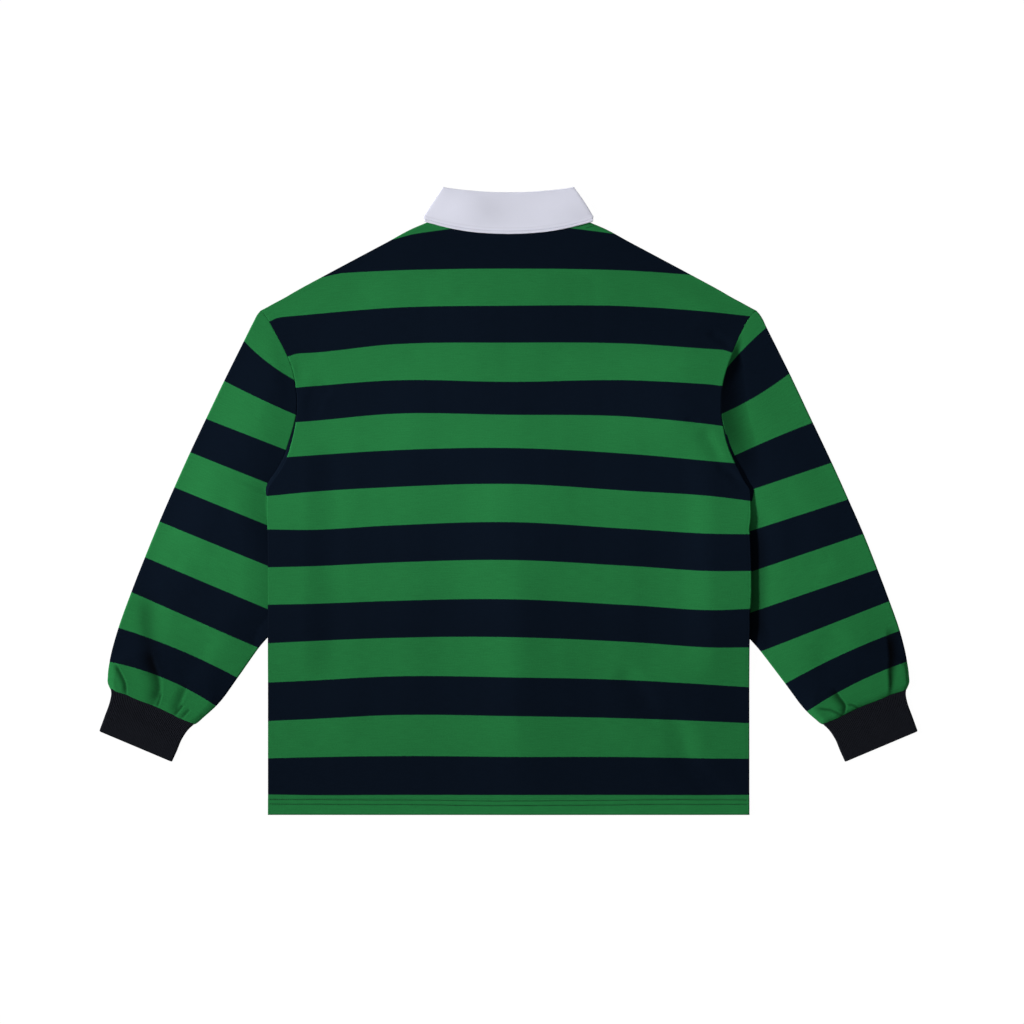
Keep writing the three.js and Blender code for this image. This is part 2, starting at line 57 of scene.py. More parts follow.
FLOOR_HALF = 4.0
FLOOR_COLOUR = (0.04, 0.04, 0.04, 1)
FLOOR_GLOW = 0.985  # the table is lit from within, so that it stays white in the shirt's shadow
floor_mesh = bpy.data.meshes.new("floor")
corners = [(-1, -1), (1, -1), (1, 1), (-1, 1)]
floor_mesh.from_pydata([(x * FLOOR_HALF, y * FLOOR_HALF, 0) for x, y in corners], [], [(0, 1, 2, 3)])
floor = bpy.data.objects.new("floor", floor_mesh)
scene.collection.objects.link(floor)
floor_paint = bpy.data.materials.new("white table")
floor_paint.use_nodes = True
floor_shader = floor_paint.node_tree.nodes["Principled BSDF"]
floor_shader.inputs["Base Color"].default_value = FLOOR_COLOUR
floor_shader.inputs["Roughness"].default_value = 1.0
floor_shader.inputs["Specular IOR Level"].default_value = 0.0
floor_shader.inputs["Emission Color"].default_value = (1, 1, 1, 1)
floor_shader.inputs["Emission Strength"].default_value = FLOOR_GLOW
floor_mesh.materials.append(floor_paint)

ROOM_LIGHT = 0.24
room = bpy.data.worlds.new("room")
room.use_nodes = True
room.node_tree.nodes["Background"].inputs["Color"].default_value = (1, 1, 1, 1)
room.node_tree.nodes["Background"].inputs["Strength"].default_value = ROOM_LIGHT
scene.world = room

# The soft box: its size and distance in metres, its height over the table, the way it lies from the shirt and
# its spread in degrees, and its power in watts.
SOFT_BOX = {"size": 1.1, "distance": 8.0, "height": 29, "towards": 173, "spread": 13.5, "power": 8.2}
AIMED_AT = (-0.12, -0.04, 0)
soft_box = bpy.data.objects.new("soft box", bpy.data.lights.new("soft box", "AREA"))
soft_box.data.size = SOFT_BOX["size"]
soft_box.data.energy = SOFT_BOX["power"]
soft_box.data.spread = math.radians(SOFT_BOX["spread"])
upwards, bearing = math.radians(SOFT_BOX["height"]), math.radians(SOFT_BOX["towards"])
away = Vector((math.cos(upwards) * math.cos(bearing), math.cos(upwards) * math.sin(bearing),
               math.sin(upwards)))
soft_box.location = Vector(AIMED_AT) + away * SOFT_BOX["distance"]
soft_box.rotation_euler = (-away).to_track_quat("-Z", "Y").to_euler()
scene.collection.objects.link(soft_box)


# ---- Back panel ----
# The whole of the shirt's back, cut from one piece of heavy cotton jersey that was knitted in green and
# navy hoops. Its hem is turned up once and its other edges are sewn to the shoulders, the sleeves and the
# front. It lies on the front, and stands a little off it in the middle.
CLOTH = 1.4
SEAM = 0.3  # the room between two pieces that lie on each other or are sewn together
PLY = CLOTH + SEAM
HALF_CHEST = 288.6
HEM_Y = -376.5
UNDERARM_Y = 8
TIP_Y = 228.6  # the shoulder's tip, where the armhole ends
NECK = {"half": 84, "y": 340.5, "back_drop": 9.5, "front_drop": 88.5}

# How far the armhole seam lies from the middle on each side, from the underarm to the shoulder tip, and how
# wide the turned seam shows between the body and the sleeve.
ARMHOLE = {
    "y": [8, 15, 22, 34, 52, 72, 92, 106, 115, 138, 160, 182, 205, 221, 228.6],
    "left": [289.6, 288.6, 284.8, 276, 266, 260, 255.8, 254.4, 254, 255.7, 260.2, 269.5, 281.8, 291, 297],
    "right": [290.6, 289.2, 284.5, 278, 268.5, 261, 257, 255.2, 255, 256.6, 262.3, 270.6, 281, 290.2, 297],
    "turned_left": [0.6, 1.6, 3.4, 4.2, 4.2, 3.3, 1.7, 0.2, 0, 0, 0, 0, 0, 0, 0],
    "turned_right": [3.0, 4.2, 4.6, 4.2, 2.9, 1.7, 0.4, 0, 0, 0, 0, 0, 0, 0, 0],
}
SHOULDER = {
    "y": [228.6, 231.8, 236.6, 244.5, 250.4, 270.8, 291, 311, 328.2, 334, 340.5],
    "out": [297, 290.8, 282.2, 267.4, 257.4, 220, 182.2, 144.5, 112, 98, 84],
}
# The side folds aren't quite straight: how much further out they lie in places.
SIDE = {
    "y": [-376, -195, -185, -172, -150, -134, -125, -95, -59, -41, -34, -23, 1, 8],
    "left": [0, 0, 0, 0, 0, 0, 0, 0, 0, 0.3, 0.5, 0.7, 1.0, 1.0],
    "right": [0.4, 0.4, 0.4, 0.5, 1.1, 1.0, 2.0, 2.6, 1.9, 0.9, 0.3, 1.9, 2.0, 2.0],
}

# The edges of the hoops on the body, from the collar to the hem: how high each lies in the middle, and how
# much lower it lies towards each side, at the places in HOOP_PLACES.
HOOP_PLACES = {"side_l": -280, "arm_l": -244, "mid_l": -140, "mid_r": 146, "arm_r": 254, "side_r": 280}
HOOP_EDGES = [
    {"middle": 332, "side_l": 31, "arm_l": 27, "mid_l": 15, "mid_r": 14, "arm_r": 29, "side_r": 33},
    {"middle": 278.4, "side_l": 9.5, "arm_l": 7.5, "mid_l": 2.2, "mid_r": 2.4, "arm_r": 9.5, "side_r": 11},
    {"middle": 234, "side_l": 14.2, "arm_l": 10.8, "mid_l": 2.4, "mid_r": 0.6, "arm_r": 8.4, "side_r": 11.2},
    {"middle": 189.6, "side_l": 13, "arm_l": 12.4, "mid_l": 2, "mid_r": 1.2, "arm_r": 8.2, "side_r": 9.4},
    {"middle": 142.8, "side_l": 8, "arm_l": 5.6, "mid_l": -1.8, "mid_r": -1.8, "arm_r": 4, "side_r": 6},
    {"middle": 103.2, "side_l": 10.4, "arm_l": 8, "mid_l": -1.2, "mid_r": 2.4, "arm_r": 13.2, "side_r": 16.6},
    {"middle": 63.6, "side_l": 12, "arm_l": 9.4, "mid_l": 2.8, "mid_r": 7.2, "arm_r": 16.8, "side_r": 19},
    {"middle": 20.4, "side_l": 13.8, "arm_l": 10.2, "mid_l": 3.8, "mid_r": 8.4, "arm_r": 15.8,
     "side_r": 19.2},
    {"middle": -25.2, "side_l": 8.9, "arm_l": 9.4, "mid_l": 4, "mid_r": 8.2, "arm_r": 14.2, "side_r": 14.4},
    {"middle": -70.8, "side_l": 8.6, "arm_l": 7.8, "mid_l": 3, "mid_r": 7.2, "arm_r": 13.4, "side_r": 13.2},
    {"middle": -117.6, "side_l": 6.5, "arm_l": 5.8, "mid_l": 2.1, "mid_r": 7.2, "arm_r": 13, "side_r": 11.9},
    {"middle": -163.2, "side_l": 7, "arm_l": 5.2, "mid_l": 1, "mid_r": 6, "arm_r": 12.6, "side_r": 12.4},
    {"middle": -211.2, "side_l": 6, "arm_l": 4.4, "mid_l": -1, "mid_r": 3.6, "arm_r": 9.8, "side_r": 11.6},
    {"middle": -257.8, "side_l": 5.8, "arm_l": 4.2, "mid_l": -1, "mid_r": 3, "arm_r": 7.2, "side_r": 8.4},
    {"middle": -306.6, "side_l": 1.8, "arm_l": 0.8, "mid_l": -0.8, "mid_r": 0.3, "arm_r": 2.2, "side_r": 2.4},
    {"middle": -352.6, "side_l": -0.4, "arm_l": 0.2, "mid_l": 0, "mid_r": 0, "arm_r": 0.2, "side_r": 0},
]
# The armhole seam drags the hoops' ends down: how far, over which heights and how wide.
SEAM_PULL = {"left": 3.6, "right": 3.0, "reach": 9, "from": 130, "full": 160, "right_to": 196,
             "right_end": 206}
HOOP_DEPTH = 46.0  # about the depth of one hoop, before the first edge and after the last

# The turned-up hem: how deep and how much thicker it is, where its two rows of stitches run, how they
# draw the cloth in and sag, and how much painted shade darkens the cloth in their grooves.
HEM = {"depth": 19, "extra": 0.9, "step": 1.5, "rows": (12.8, 18.4), "groove": 0.35, "groove_width": 0.8,
       "sag": 1.5, "sag_at": 10, "sag_reach": 120, "painted_shade": 0.2}
PUCKERS = {"high": 0.09, "wave": 2.4, "row": 15.5, "reach": 5}  # along the hem, between the two rows
SIDE_SEAM = {"deep": 0.15, "inset": 2.6, "wide": 0.6, "up_to": 4}  # shows beside the right fold
FOLD_RADIUS = 1.3  # how the panel's side edges round off
# The rows of points up a panel: in from each folded edge, and how many up the side, the armhole and the
# shoulder. Half a row has PANEL_STEPS points besides those at its edge.
EDGE_STEPS = (0, 0.12, 0.35, 0.7, 1.2, 1.9, 2.6, 3.2, 4.4, 6.4)
PANEL_ROWS = {"hem_step": 0.8, "side": 118, "armhole": 76, "shoulder": 44}
PANEL_STEPS = 82
# What lies under the body lifts it: a tucked sleeve, a leaf of the collar, and the placket with its
# buttons. Each fades out between two places, across the body or up it.
UNDER_ROOM = {
    "tuck": {"inner_x": 205, "outer_x": 248, "fades": (-226, -182, 30, 95)},
    "leaf": {"inner_x": 104, "outer_x": 190, "low": 140, "full": 195},
    "placket": {"half": 19, "spread": 76, "back_spread": 170, "foot": 24, "full": 78, "fade_from": 258,
                "fade_to": 300},
}
BUTTON_DEPTH = 2.0
OVER_PLACKET = BUTTON_DEPTH + SEAM + PLY
# The air between the back and the front: its height, and how far in from each side, from the hem and from
# the collar it is reached.
BACK_AIR = {"height": 2.4, "left": 150, "right": 62, "middle": 110, "at_hem": 0.4, "hem_reach": 150,
            "fade_from": 250, "fade_to": 300}
LEAST_AIR = 0.02  # a crease that would cut through what lies under it is held to this share of its depth

# Soft upright lines, left from when the shirt was last folded: where each stands, how high it is, how wide
# it is to its left and to its right, and between which heights it fades in and out.
FOLD_LINES = [
    {"x": 12, "high": 4.2, "left": 48, "right": 92, "fades": (-430, -330, -40, 150)},
    {"x": 16, "high": 1.2, "left": 22, "right": 26, "fades": (-400, -340, -120, -20)},
    {"x": -112, "high": 0.7, "left": 26, "right": 24, "fades": (-400, -300, 100, 150)},
    {"x": -196, "high": 0.8, "left": 30, "right": 20, "fades": (-400, -300, 80, 120)},
    {"x": 146, "high": 0.7, "left": 30, "right": 24, "fades": (-400, -300, 60, 130)},
    {"x": 214, "high": 0.5, "left": 30, "right": 26, "fades": (-330, -200, 0, 60)},
]
# The creases of the back: the points that each runs through, how deep it is, and how wide it is to its left
# and to its right.
BACK_CREASES = [
    {"line": [(126, -203), (146, -214), (160, -230), (171, -252)], "deep": 1.5, "left": 17, "right": 9},
    {"line": [(166, -246), (204, -271), (214, -306), (232, -330), (254, -348)],
     "deep": 1.7, "left": 17, "right": 10},
    {"line": [(-212, 139), (-228, 126), (-233, 108)], "deep": 1.9, "left": 8, "right": 5},
    {"line": [(-221, 178), (-243, 167), (-252, 150)], "deep": 0.9, "left": 9, "right": 6},
    {"line": [(240, 204), (252, 197), (267, 187)], "deep": 1.8, "left": 4.5, "right": 2.2},
    {"line": [(212, 98), (219, 97), (227, 95)], "deep": 1.3, "left": 3.2, "right": 2.2},
    {"line": [(232, 88), (243, 70), (252, 50)], "deep": 1.3, "left": 10, "right": 6},
    {"line": [(247, 44), (264, 36), (281, 21)], "deep": 1.3, "left": 5.5, "right": 3.5},
    {"line": [(-262, -20), (-226, -64), (-180, -120)], "deep": 0.5, "left": 24, "right": 22},
    {"line": [(250, 10), (214, -40), (168, -86)], "deep": 0.5, "left": 24, "right": 22},
    {"line": [(-150, 262), (-196, 232), (-236, 196)], "deep": 0.5, "left": 26, "right": 22},
    {"line": [(156, 262), (196, 238), (232, 214)], "deep": 0.5, "left": 26, "right": 22},
]
# The armhole seam holds the cloth up: how much, over which part of it, how far that reaches over the body
# and over the sleeve, and over which shares of its length it fades in and out.
SEAM_RISE = {
    "left": {"low": 30, "high": 200, "high_by": 0.5, "body": 30, "sleeve": 16},
    "right": {"low": 14, "high": 200, "high_by": 10, "body": 230, "sleeve": 34},
    "fades": (0.4, 0.22),
}
SIDE_RISE = {"high_by": 3.2, "reach": 120, "fades": (-205, -140, -60, 20)}  # the right fold, over the sleeve


def smoothstep(v, low, high):
    """From 0 at low to 1 at high, easing in and out."""
    t = np.clip((v - low) / (high - low), 0, 1)
    return t * t * (3 - 2 * t)


def band(v, low, low_full, high_full, high):
    """1 between the two full values, and down to 0 at the outer two."""
    return smoothstep(v, low, low_full) * (1 - smoothstep(v, high_full, high))


def smooth(at, values, where):
    """A smooth curve through the values at the given places, read where asked. It ends in straight lines."""
    at, values, where = (np.asarray(v, float) for v in (at, values, where))
    slope = np.gradient(values, at)
    inside = np.clip(where, at[0], at[-1])
    k = np.clip(np.searchsorted(at, inside) - 1, 0, len(at) - 2)
    span = at[k + 1] - at[k]
    t = (inside - at[k]) / span
    curve = ((2 * t**3 - 3 * t**2 + 1) * values[k] + (t**3 - 2 * t**2 + t) * span * slope[k]
             + (3 * t**2 - 2 * t**3) * values[k + 1] + (t**3 - t**2) * span * slope[k + 1])
    return curve + (where - inside) * np.where(where < at[0], slope[0], slope[-1])


CREASE_STEPS = 33  # along each crease
CREASE_REACH = 3.2  # how far out a crease is felt, in its widths
CREASE_FADE = 0.3  # the share of its length over which it fades in


def crease(x, y, line, deep, left, right, soft=1.0, dark=0, lips=0.12):
    """
    How far a crease sinks the cloth at each spot. Its wider side starts soft times as wide, and its lips
    stand up a little. dark, how strong its painted shade is, is not used here.
    """
    points = np.array(line, float)
    at, fine = np.linspace(0, 1, len(points)), np.linspace(0, 1, CREASE_STEPS)
    px, py = smooth(at, points[:, 0], fine), smooth(at, points[:, 1], fine)
    reach = CREASE_REACH * max(left, right) * soft
    near = ((x > px.min() - reach) & (x < px.max() + reach)
            & (y > py.min() - reach) & (y < py.max() + reach))
    sunk = np.zeros_like(x)
    if not near.any():
        return sunk
    dx, dy = x[near][:, None] - px, y[near][:, None] - py
    distance = np.hypot(dx, dy)
    k = distance.argmin(1)
    pick = np.arange(len(k))
    across_x, across_y = np.gradient(py)[k], -np.gradient(px)[k]
    to_right = (across_x * dx[pick, k] + across_y * dy[pick, k]) * np.sign(across_x + 1e-9) > 0
    spread = np.where(to_right == (right > left), soft + (1 - soft) * fine[k], 1)
    off = distance[pick, k] / (np.where(to_right, right, left) * spread)
    ends = smoothstep(fine[k], 0, CREASE_FADE) * (1 - 0.5 * smoothstep(fine[k], 1 - CREASE_FADE * 0.5, 1))
    sunk[near] = deep * ends * (np.exp(-off**2) - lips * np.exp(-1.3 * (off - 2.1) ** 2))
    return sunk


def all_creases(x, y, creases):
    """How far all the creases of a piece sink it at each spot."""
    return sum(crease(x, y, **one) for one in creases)


def fold_lines(x, y):
    """The soft upright lines that folding has left in the back."""
    risen = 0
    for line in FOLD_LINES:
        off = x - line["x"] - 4 * np.sin(y / 90)
        shape = np.exp(-((off / np.where(off < 0, line["left"], line["right"])) ** 2))
        risen = risen + line["high"] * shape * band(y, *line["fades"])
    return risen


def hoop_of_body(x, y):
    """The hoop that each spot of the body lies in, from 0 at the first edge under the collar."""
    keys = sorted([*HOOP_PLACES, "middle"], key=lambda key: HOOP_PLACES.get(key, 0))
    places = [HOOP_PLACES.get(key, 0) for key in keys]
    edges = [row["middle"] - smooth(places, [0 if key == "middle" else row[key] for key in keys], x)
             for row in HOOP_EDGES]
    from_seam = np.where(x < 0, side_of_body("left", y), side_of_body("right", y)) - abs(x)
    right = SEAM_PULL["right"] * (1 - smoothstep(y, SEAM_PULL["right_to"], SEAM_PULL["right_end"]))
    pull = np.where(x < 0, SEAM_PULL["left"], right) * np.exp(-((from_seam / SEAM_PULL["reach"]) ** 2))
    y = y + pull * smoothstep(y, SEAM_PULL["from"], SEAM_PULL["full"])
    edges = np.array([edges[0] + HOOP_DEPTH, *edges, edges[-1] - HOOP_DEPTH])
    below = (y < edges).sum(0).clip(1, len(edges) - 1)
    high = np.take_along_axis(edges, below[None] - 1, 0)[0]
    low = np.take_along_axis(edges, below[None], 0)[0]
    return below - 2 + (high - y) / (high - low)


def under_room(x, y, of_back=False):
    """How much the body is lifted by what lies under it: a tucked sleeve, a collar leaf or the placket."""
    tuck, leaf, placket = UNDER_ROOM["tuck"], UNDER_ROOM["leaf"], UNDER_ROOM["placket"]
    sleeve = 2 * PLY * smoothstep(abs(x), tuck["inner_x"], tuck["outer_x"]) * band(y, *tuck["fades"])
    point = (PLY * (1 - smoothstep(abs(x), leaf["inner_x"], leaf["outer_x"]))
             * smoothstep(y, leaf["low"], leaf["full"]))
    spread = placket["back_spread" if of_back else "spread"]
    strip = (OVER_PLACKET * (1 - smoothstep(abs(x), placket["half"], spread))
             * smoothstep(y, placket["foot"], placket["full"]))
    if of_back:
        strip = strip * (1 - smoothstep(y, placket["fade_from"], placket["fade_to"]))
    return np.maximum(np.maximum(sleeve, point), strip)


def hem_extra(y):
    """How much thicker the body is where its hem is turned up."""
    top = HEM_Y + HEM["depth"]
    return HEM["extra"] * (1 - smoothstep(y, top, top + HEM["step"]))


def stitch_row(x, row):
    """The height of one row of the hem's stitches. Both rows sag a little towards the middle."""
    return HEM_Y + row - HEM["sag"] * np.exp(-(((x - HEM["sag_at"]) / HEM["sag_reach"]) ** 2))


def hem_grooves(x, y):
    """Where the hem's stitches draw the cloth in, from 0 to 1."""
    return sum(np.exp(-(((y - stitch_row(x, row)) / HEM["groove_width"]) ** 2)) for row in HEM["rows"])


def seam_rise(side, y, distance, over):
    """How much the armhole seam holds the cloth up, at a distance from it over the body or the sleeve."""
    rise = SEAM_RISE[side]
    low, high = rise["low"], rise["high"]
    fade_in, fade_out = (share * (high - low) for share in SEAM_RISE["fades"])
    along = band(y, low, low + fade_in, high - fade_out, high)
    if over == "sleeve":
        reach = rise["sleeve"] * np.sqrt(along + 0.02)
        return rise["high_by"] * along * np.clip(1 - distance / reach, 0, 1) ** 1.5
    return rise["high_by"] * along * (1 - smoothstep(distance, 0, rise["body"]))


def cloth_waves(x, y):
    """The slight unevenness of pressed cloth, in three sets of waves from broad to fine."""
    return (0.22 * np.sin(x / 31 + 0.7 * np.sin(y / 47)) * np.sin(y / 38 + 0.9 * np.sin(x / 61))
            + 0.12 * np.sin(x / 13.7 + y / 29 + 1.1) * np.sin(y / 17.3 - x / 41)
            + 0.05 * np.sin(x / 5.9 - y / 8.3) * np.sin(y / 6.7 + x / 9.1 + 2.0))


def back_low(x, y, from_side):
    """The underside of the back panel, from how far each spot is from the nearest side edge."""
    rest = under_room(x, y, of_back=True) + PLY + hem_extra(y)
    air = BACK_AIR
    reach = air["left"] + (air["right"] - air["left"]) * smoothstep(x, -air["middle"], air["middle"])
    loose = air["at_hem"] + (1 - air["at_hem"]) * smoothstep(y, HEM_Y, HEM_Y + air["hem_reach"])
    free = loose * smoothstep(from_side, 0, reach) * (1 - smoothstep(y, air["fade_from"], air["fade_to"]))
    lift = np.where(x < 0, seam_rise("left", y, from_side, "body"), seam_rise("right", y, from_side, "body"))
    beside = np.where(x > 0, 1 - smoothstep(from_side, 0, SIDE_RISE["reach"]), 0)
    lift = lift + SIDE_RISE["high_by"] * beside * band(y, *SIDE_RISE["fades"])
    sunk = all_creases(x, y, BACK_CREASES) * smoothstep(from_side, 0, 10)
    up = free * (air["height"] + fold_lines(x, y) + cloth_waves(x, y)) + lift - sunk
    return rest + np.maximum(up, LEAST_AIR * up)


def rounded(edge, radius):
    """How far a folded edge has rounded off at each distance from it."""
    inner = np.clip(radius - edge, 0, radius)
    return radius - np.sqrt(radius**2 - inner**2)


def from_edge(y, from_side):
    """How far each spot of a panel is from its nearest folded edge."""
    return np.minimum(from_side, y - HEM_Y)


def back_high(x, y, from_side):
    """The face of the back panel, with its hem's stitches drawn in and its edges rounded."""
    drawn_in = HEM["groove"] * hem_grooves(x, y)
    puckers = (PUCKERS["high"] * np.sin(x / PUCKERS["wave"] + 0.6 * np.sin(x / 11))
               * np.exp(-(((y - HEM_Y - PUCKERS["row"]) / PUCKERS["reach"]) ** 2)))
    beside = np.exp(-(((from_side - SIDE_SEAM["inset"]) / SIDE_SEAM["wide"]) ** 2))
    side_seam = SIDE_SEAM["deep"] * np.where(x > 0, beside, 0) * (y < SIDE_SEAM["up_to"])
    return (back_low(x, y, from_side) + CLOTH + hem_extra(y) - rounded(from_edge(y, from_side), FOLD_RADIUS)
            - drawn_in + puckers - side_seam)


def side_of_body(side, y):
    """How far out the body reaches at each height."""
    fold = HALF_CHEST + smooth(SIDE["y"], SIDE[side], y)
    sewn = np.where(y > UNDERARM_Y, smooth(ARMHOLE["y"], ARMHOLE[side], y), fold)
    return np.where(y > TIP_Y, smooth(SHOULDER["y"], SHOULDER["out"], y), sewn)


def body_rows(coarse):
    """The heights of a panel's rows at its side edges."""
    hem = HEM_Y + np.array(EDGE_STEPS)
    stitched = np.arange(hem[-1] + 1.0, HEM_Y + HEM["depth"] + 6, PANEL_ROWS["hem_step"] * coarse)
    body = np.linspace(stitched[-1] + 2, UNDERARM_Y, int(PANEL_ROWS["side"] / coarse))
    top = np.linspace(UNDERARM_Y, TIP_Y, int(PANEL_ROWS["armhole"] / coarse))[1:]
    shoulder = np.linspace(TIP_Y, NECK["y"], int(PANEL_ROWS["shoulder"] / coarse))[1:]
    return np.concatenate([hem, stitched, body, top, shoulder])


def panel_grid(coarse, sag):
    """The spots of a body panel, row by row from the hem: where each lies and how far it is from its side."""
    heights = body_rows(coarse)
    steps = int(PANEL_STEPS / coarse)
    inset = np.concatenate([np.zeros(steps), np.array(EDGE_STEPS[-2::-1])])
    share = np.concatenate([np.linspace(0, 1, steps), np.ones(len(EDGE_STEPS) - 1)])
    halves = []
    for side in ("left", "right"):
        out = side_of_body(side, heights)[:, None]
        flat = share * (out - EDGE_STEPS[-1])
        places = np.where(np.arange(len(share)) < steps, flat, out - inset)
        halves.append((places, np.broadcast_to(out, places.shape)))
    (left, left_out), (right, right_out) = halves
    x = np.concatenate([-left[:, ::-1], right[:, 1:]], 1)
    out = np.concatenate([left_out[:, ::-1], right_out[:, 1:]], 1)
    height = np.broadcast_to(heights[:, None], x.shape)
    depth, power = sag(height)
    y = height - depth * np.clip(1 - (x / out) ** 2, 0, 1) ** power
    return x, y, out - abs(x)


def wall(name, upper, lower, numbers, material, ring=False):
    """A closed wall of cloth between two grids of points, in millimetres. numbers are kept on its points."""
    rows, columns = upper.shape[:2]
    count = rows * columns
    points = np.concatenate([upper.reshape(-1, 3), lower.reshape(-1, 3)]) * MM
    index = np.arange(count).reshape(rows, columns)
    wide = np.concatenate([index, index[:, :1]], 1) if ring else index
    top = np.stack([wide[:-1, :-1], wide[:-1, 1:], wide[1:, 1:], wide[1:, :-1]], -1).reshape(-1, 4)
    faces = [top, top[:, ::-1] + count]
    rims = [wide[0], wide[-1][::-1]] + ([] if ring else [index[::-1, 0], index[:, -1]])
    for rim in rims:
        faces.append(np.stack([rim[1:], rim[:-1], rim[:-1] + count, rim[1:] + count], -1))
    faces = np.concatenate(faces)
    p = points[faces]
    volume = np.einsum("ij,ij->", p[:, 0], np.cross(p[:, 1], p[:, 2]) + np.cross(p[:, 2], p[:, 3]))
    if volume < 0:
        faces = faces[:, ::-1]
    mesh = bpy.data.meshes.new(name)
    mesh.from_pydata(points.tolist(), [], faces.tolist())
    for key, values in numbers.items():
        kept = mesh.attributes.new(key, "FLOAT", "POINT")
        kept.data.foreach_set("value", np.concatenate([np.ravel(values)] * 2).astype(np.float32))
    return piece_of(name, mesh, material)


def piece_of(name, mesh, material):
    """A mesh in its material as a piece of the scene. Only its sharpest edges are shaded sharp."""
    mesh.shade_smooth()
    mesh.set_sharp_from_angle(angle=math.radians(50))
    mesh.materials.append(material)
    piece = bpy.data.objects.new(name, mesh)
    scene.collection.objects.link(piece)
    return piece


def xyz(x, y, z):
    """Points from three grids, or from single numbers."""
    return np.stack(np.broadcast_arrays(x, y, z), -1)


class Wire:
    """A socket in a material. Sums on it add Math nodes."""

    def __init__(self, tree, socket):
        self.tree = tree
        self.socket = socket

    @classmethod
    def node(cls, tree, kind, settings, inputs, output=0):
        """A new node: its settings are set first, and then the values or links of its sockets."""
        made = tree.nodes.new(kind)
        for name, value in settings.items():
            setattr(made, name, value)
        for name, value in inputs.items():
            if isinstance(value, Wire):
                tree.links.new(value.socket, made.inputs[name])
            else:
                made.inputs[name].default_value = value
        return cls(tree, made.outputs[output])

    def maths(self, operation, *terms):
        return Wire.node(self.tree, "ShaderNodeMath", {"operation": operation}, dict(enumerate(terms)))

    def __add__(self, other):
        return self.maths("ADD", self, other)

    def __radd__(self, other):
        return self.maths("ADD", other, self)

    def __sub__(self, other):
        return self.maths("SUBTRACT", self, other)

    def __rsub__(self, other):
        return self.maths("SUBTRACT", other, self)

    def __mul__(self, other):
        return self.maths("MULTIPLY", self, other)

    def __rmul__(self, other):
        return self.maths("MULTIPLY", other, self)

    def __truediv__(self, other):
        return self.maths("DIVIDE", self, other)

    def wave(self, length):
        return self.maths("SINE", self * (2 * math.pi / length))

    def size(self):
        return self.maths("ABSOLUTE", self)

    def share(self):
        """Held between 0 and 1."""
        return Wire.node(self.tree, "ShaderNodeClamp", {}, {"Value": self})


def number_on(tree, name):
    """A number that the piece's points carry."""
    return Wire.node(tree, "ShaderNodeAttribute", {"attribute_name": name}, {}, "Fac")


def noise(tree, x, y, detail=2.0):
    """Noise from 0 to 1 over two coordinates."""
    spot = Wire.node(tree, "ShaderNodeCombineXYZ", {}, {"X": x, "Y": y})
    return Wire.node(tree, "ShaderNodeTexNoise", {}, {"Vector": spot, "Scale": 1.0, "Detail": detail}, "Fac")


def blend(tree, share, first, second):
    """A colour between two."""
    return Wire.node(tree, "ShaderNodeMix", {"data_type": "RGBA"}, {0: share, 6: first, 7: second}, 2)


def shaded(tree, colour, amount):
    """A colour, lighter or darker by an amount that is 1 for no change."""
    return Wire.node(tree, "ShaderNodeVectorMath", {"operation": "SCALE"}, {0: colour, "Scale": amount})


def new_finish(name, roughness, specular):
    """A new material, its tree and its shader."""
    material = bpy.data.materials.new(name)
    material.use_nodes = True
    tree = material.node_tree
    shader = tree.nodes["Principled BSDF"]
    shader.inputs["Roughness"].default_value = roughness
    shader.inputs["Specular IOR Level"].default_value = specular
    return material, tree, shader


def raise_surface(tree, shader, height, distance):
    """Bump of that height in millimetres."""
    bump = Wire.node(tree, "ShaderNodeBump", {},
                     {"Height": height, "Distance": distance * MM, "Strength": 1.0})
    tree.links.new(bump.socket, shader.inputs["Normal"])


def knitted(across, along, wale, course):
    """The height of plain knitting: columns of small V-shaped loops."""
    column = across / wale
    from_middle = (column - column.maths("FLOOR", column) - 0.5).size()
    loops = (along + from_middle * course * 1.2).wave(course) * 0.3 + 0.5
    return loops * 0.6 + (0.5 - from_middle) * 0.9


GREEN = (0.0172, 0.176, 0.0475, 1)
NAVY = (0.0024, 0.0058, 0.0128, 1)
JERSEY = {"wale": 1.15, "course": 0.95, "relief": 0.10}
HOOP_BORDER = {"width": 0.022, "ragged": 0.014, "sharp": 17}  # in hoops; its edge catches a little light
RIM_SHADE = {"width": 2.2, "dark": 0.3}  # painted shade: the fold at the sides and the hem is a little darker
LOW_HOOP_SHADE = {"from": 7, "over": 4, "to": 14.4, "fade": 1.2, "dark": 0.13}  # painted shade too: the low hoops are a little darker, counted in hoops
# The cloth's uneven tone, and the strength of the painted highlight beside the hoop borders.
UNEVEN_TONE_AND_HIGHLIGHT = {"plain": 0.61, "streak": 0.3, "grain": 0.4, "patch": 0.08, "border": 0.07}


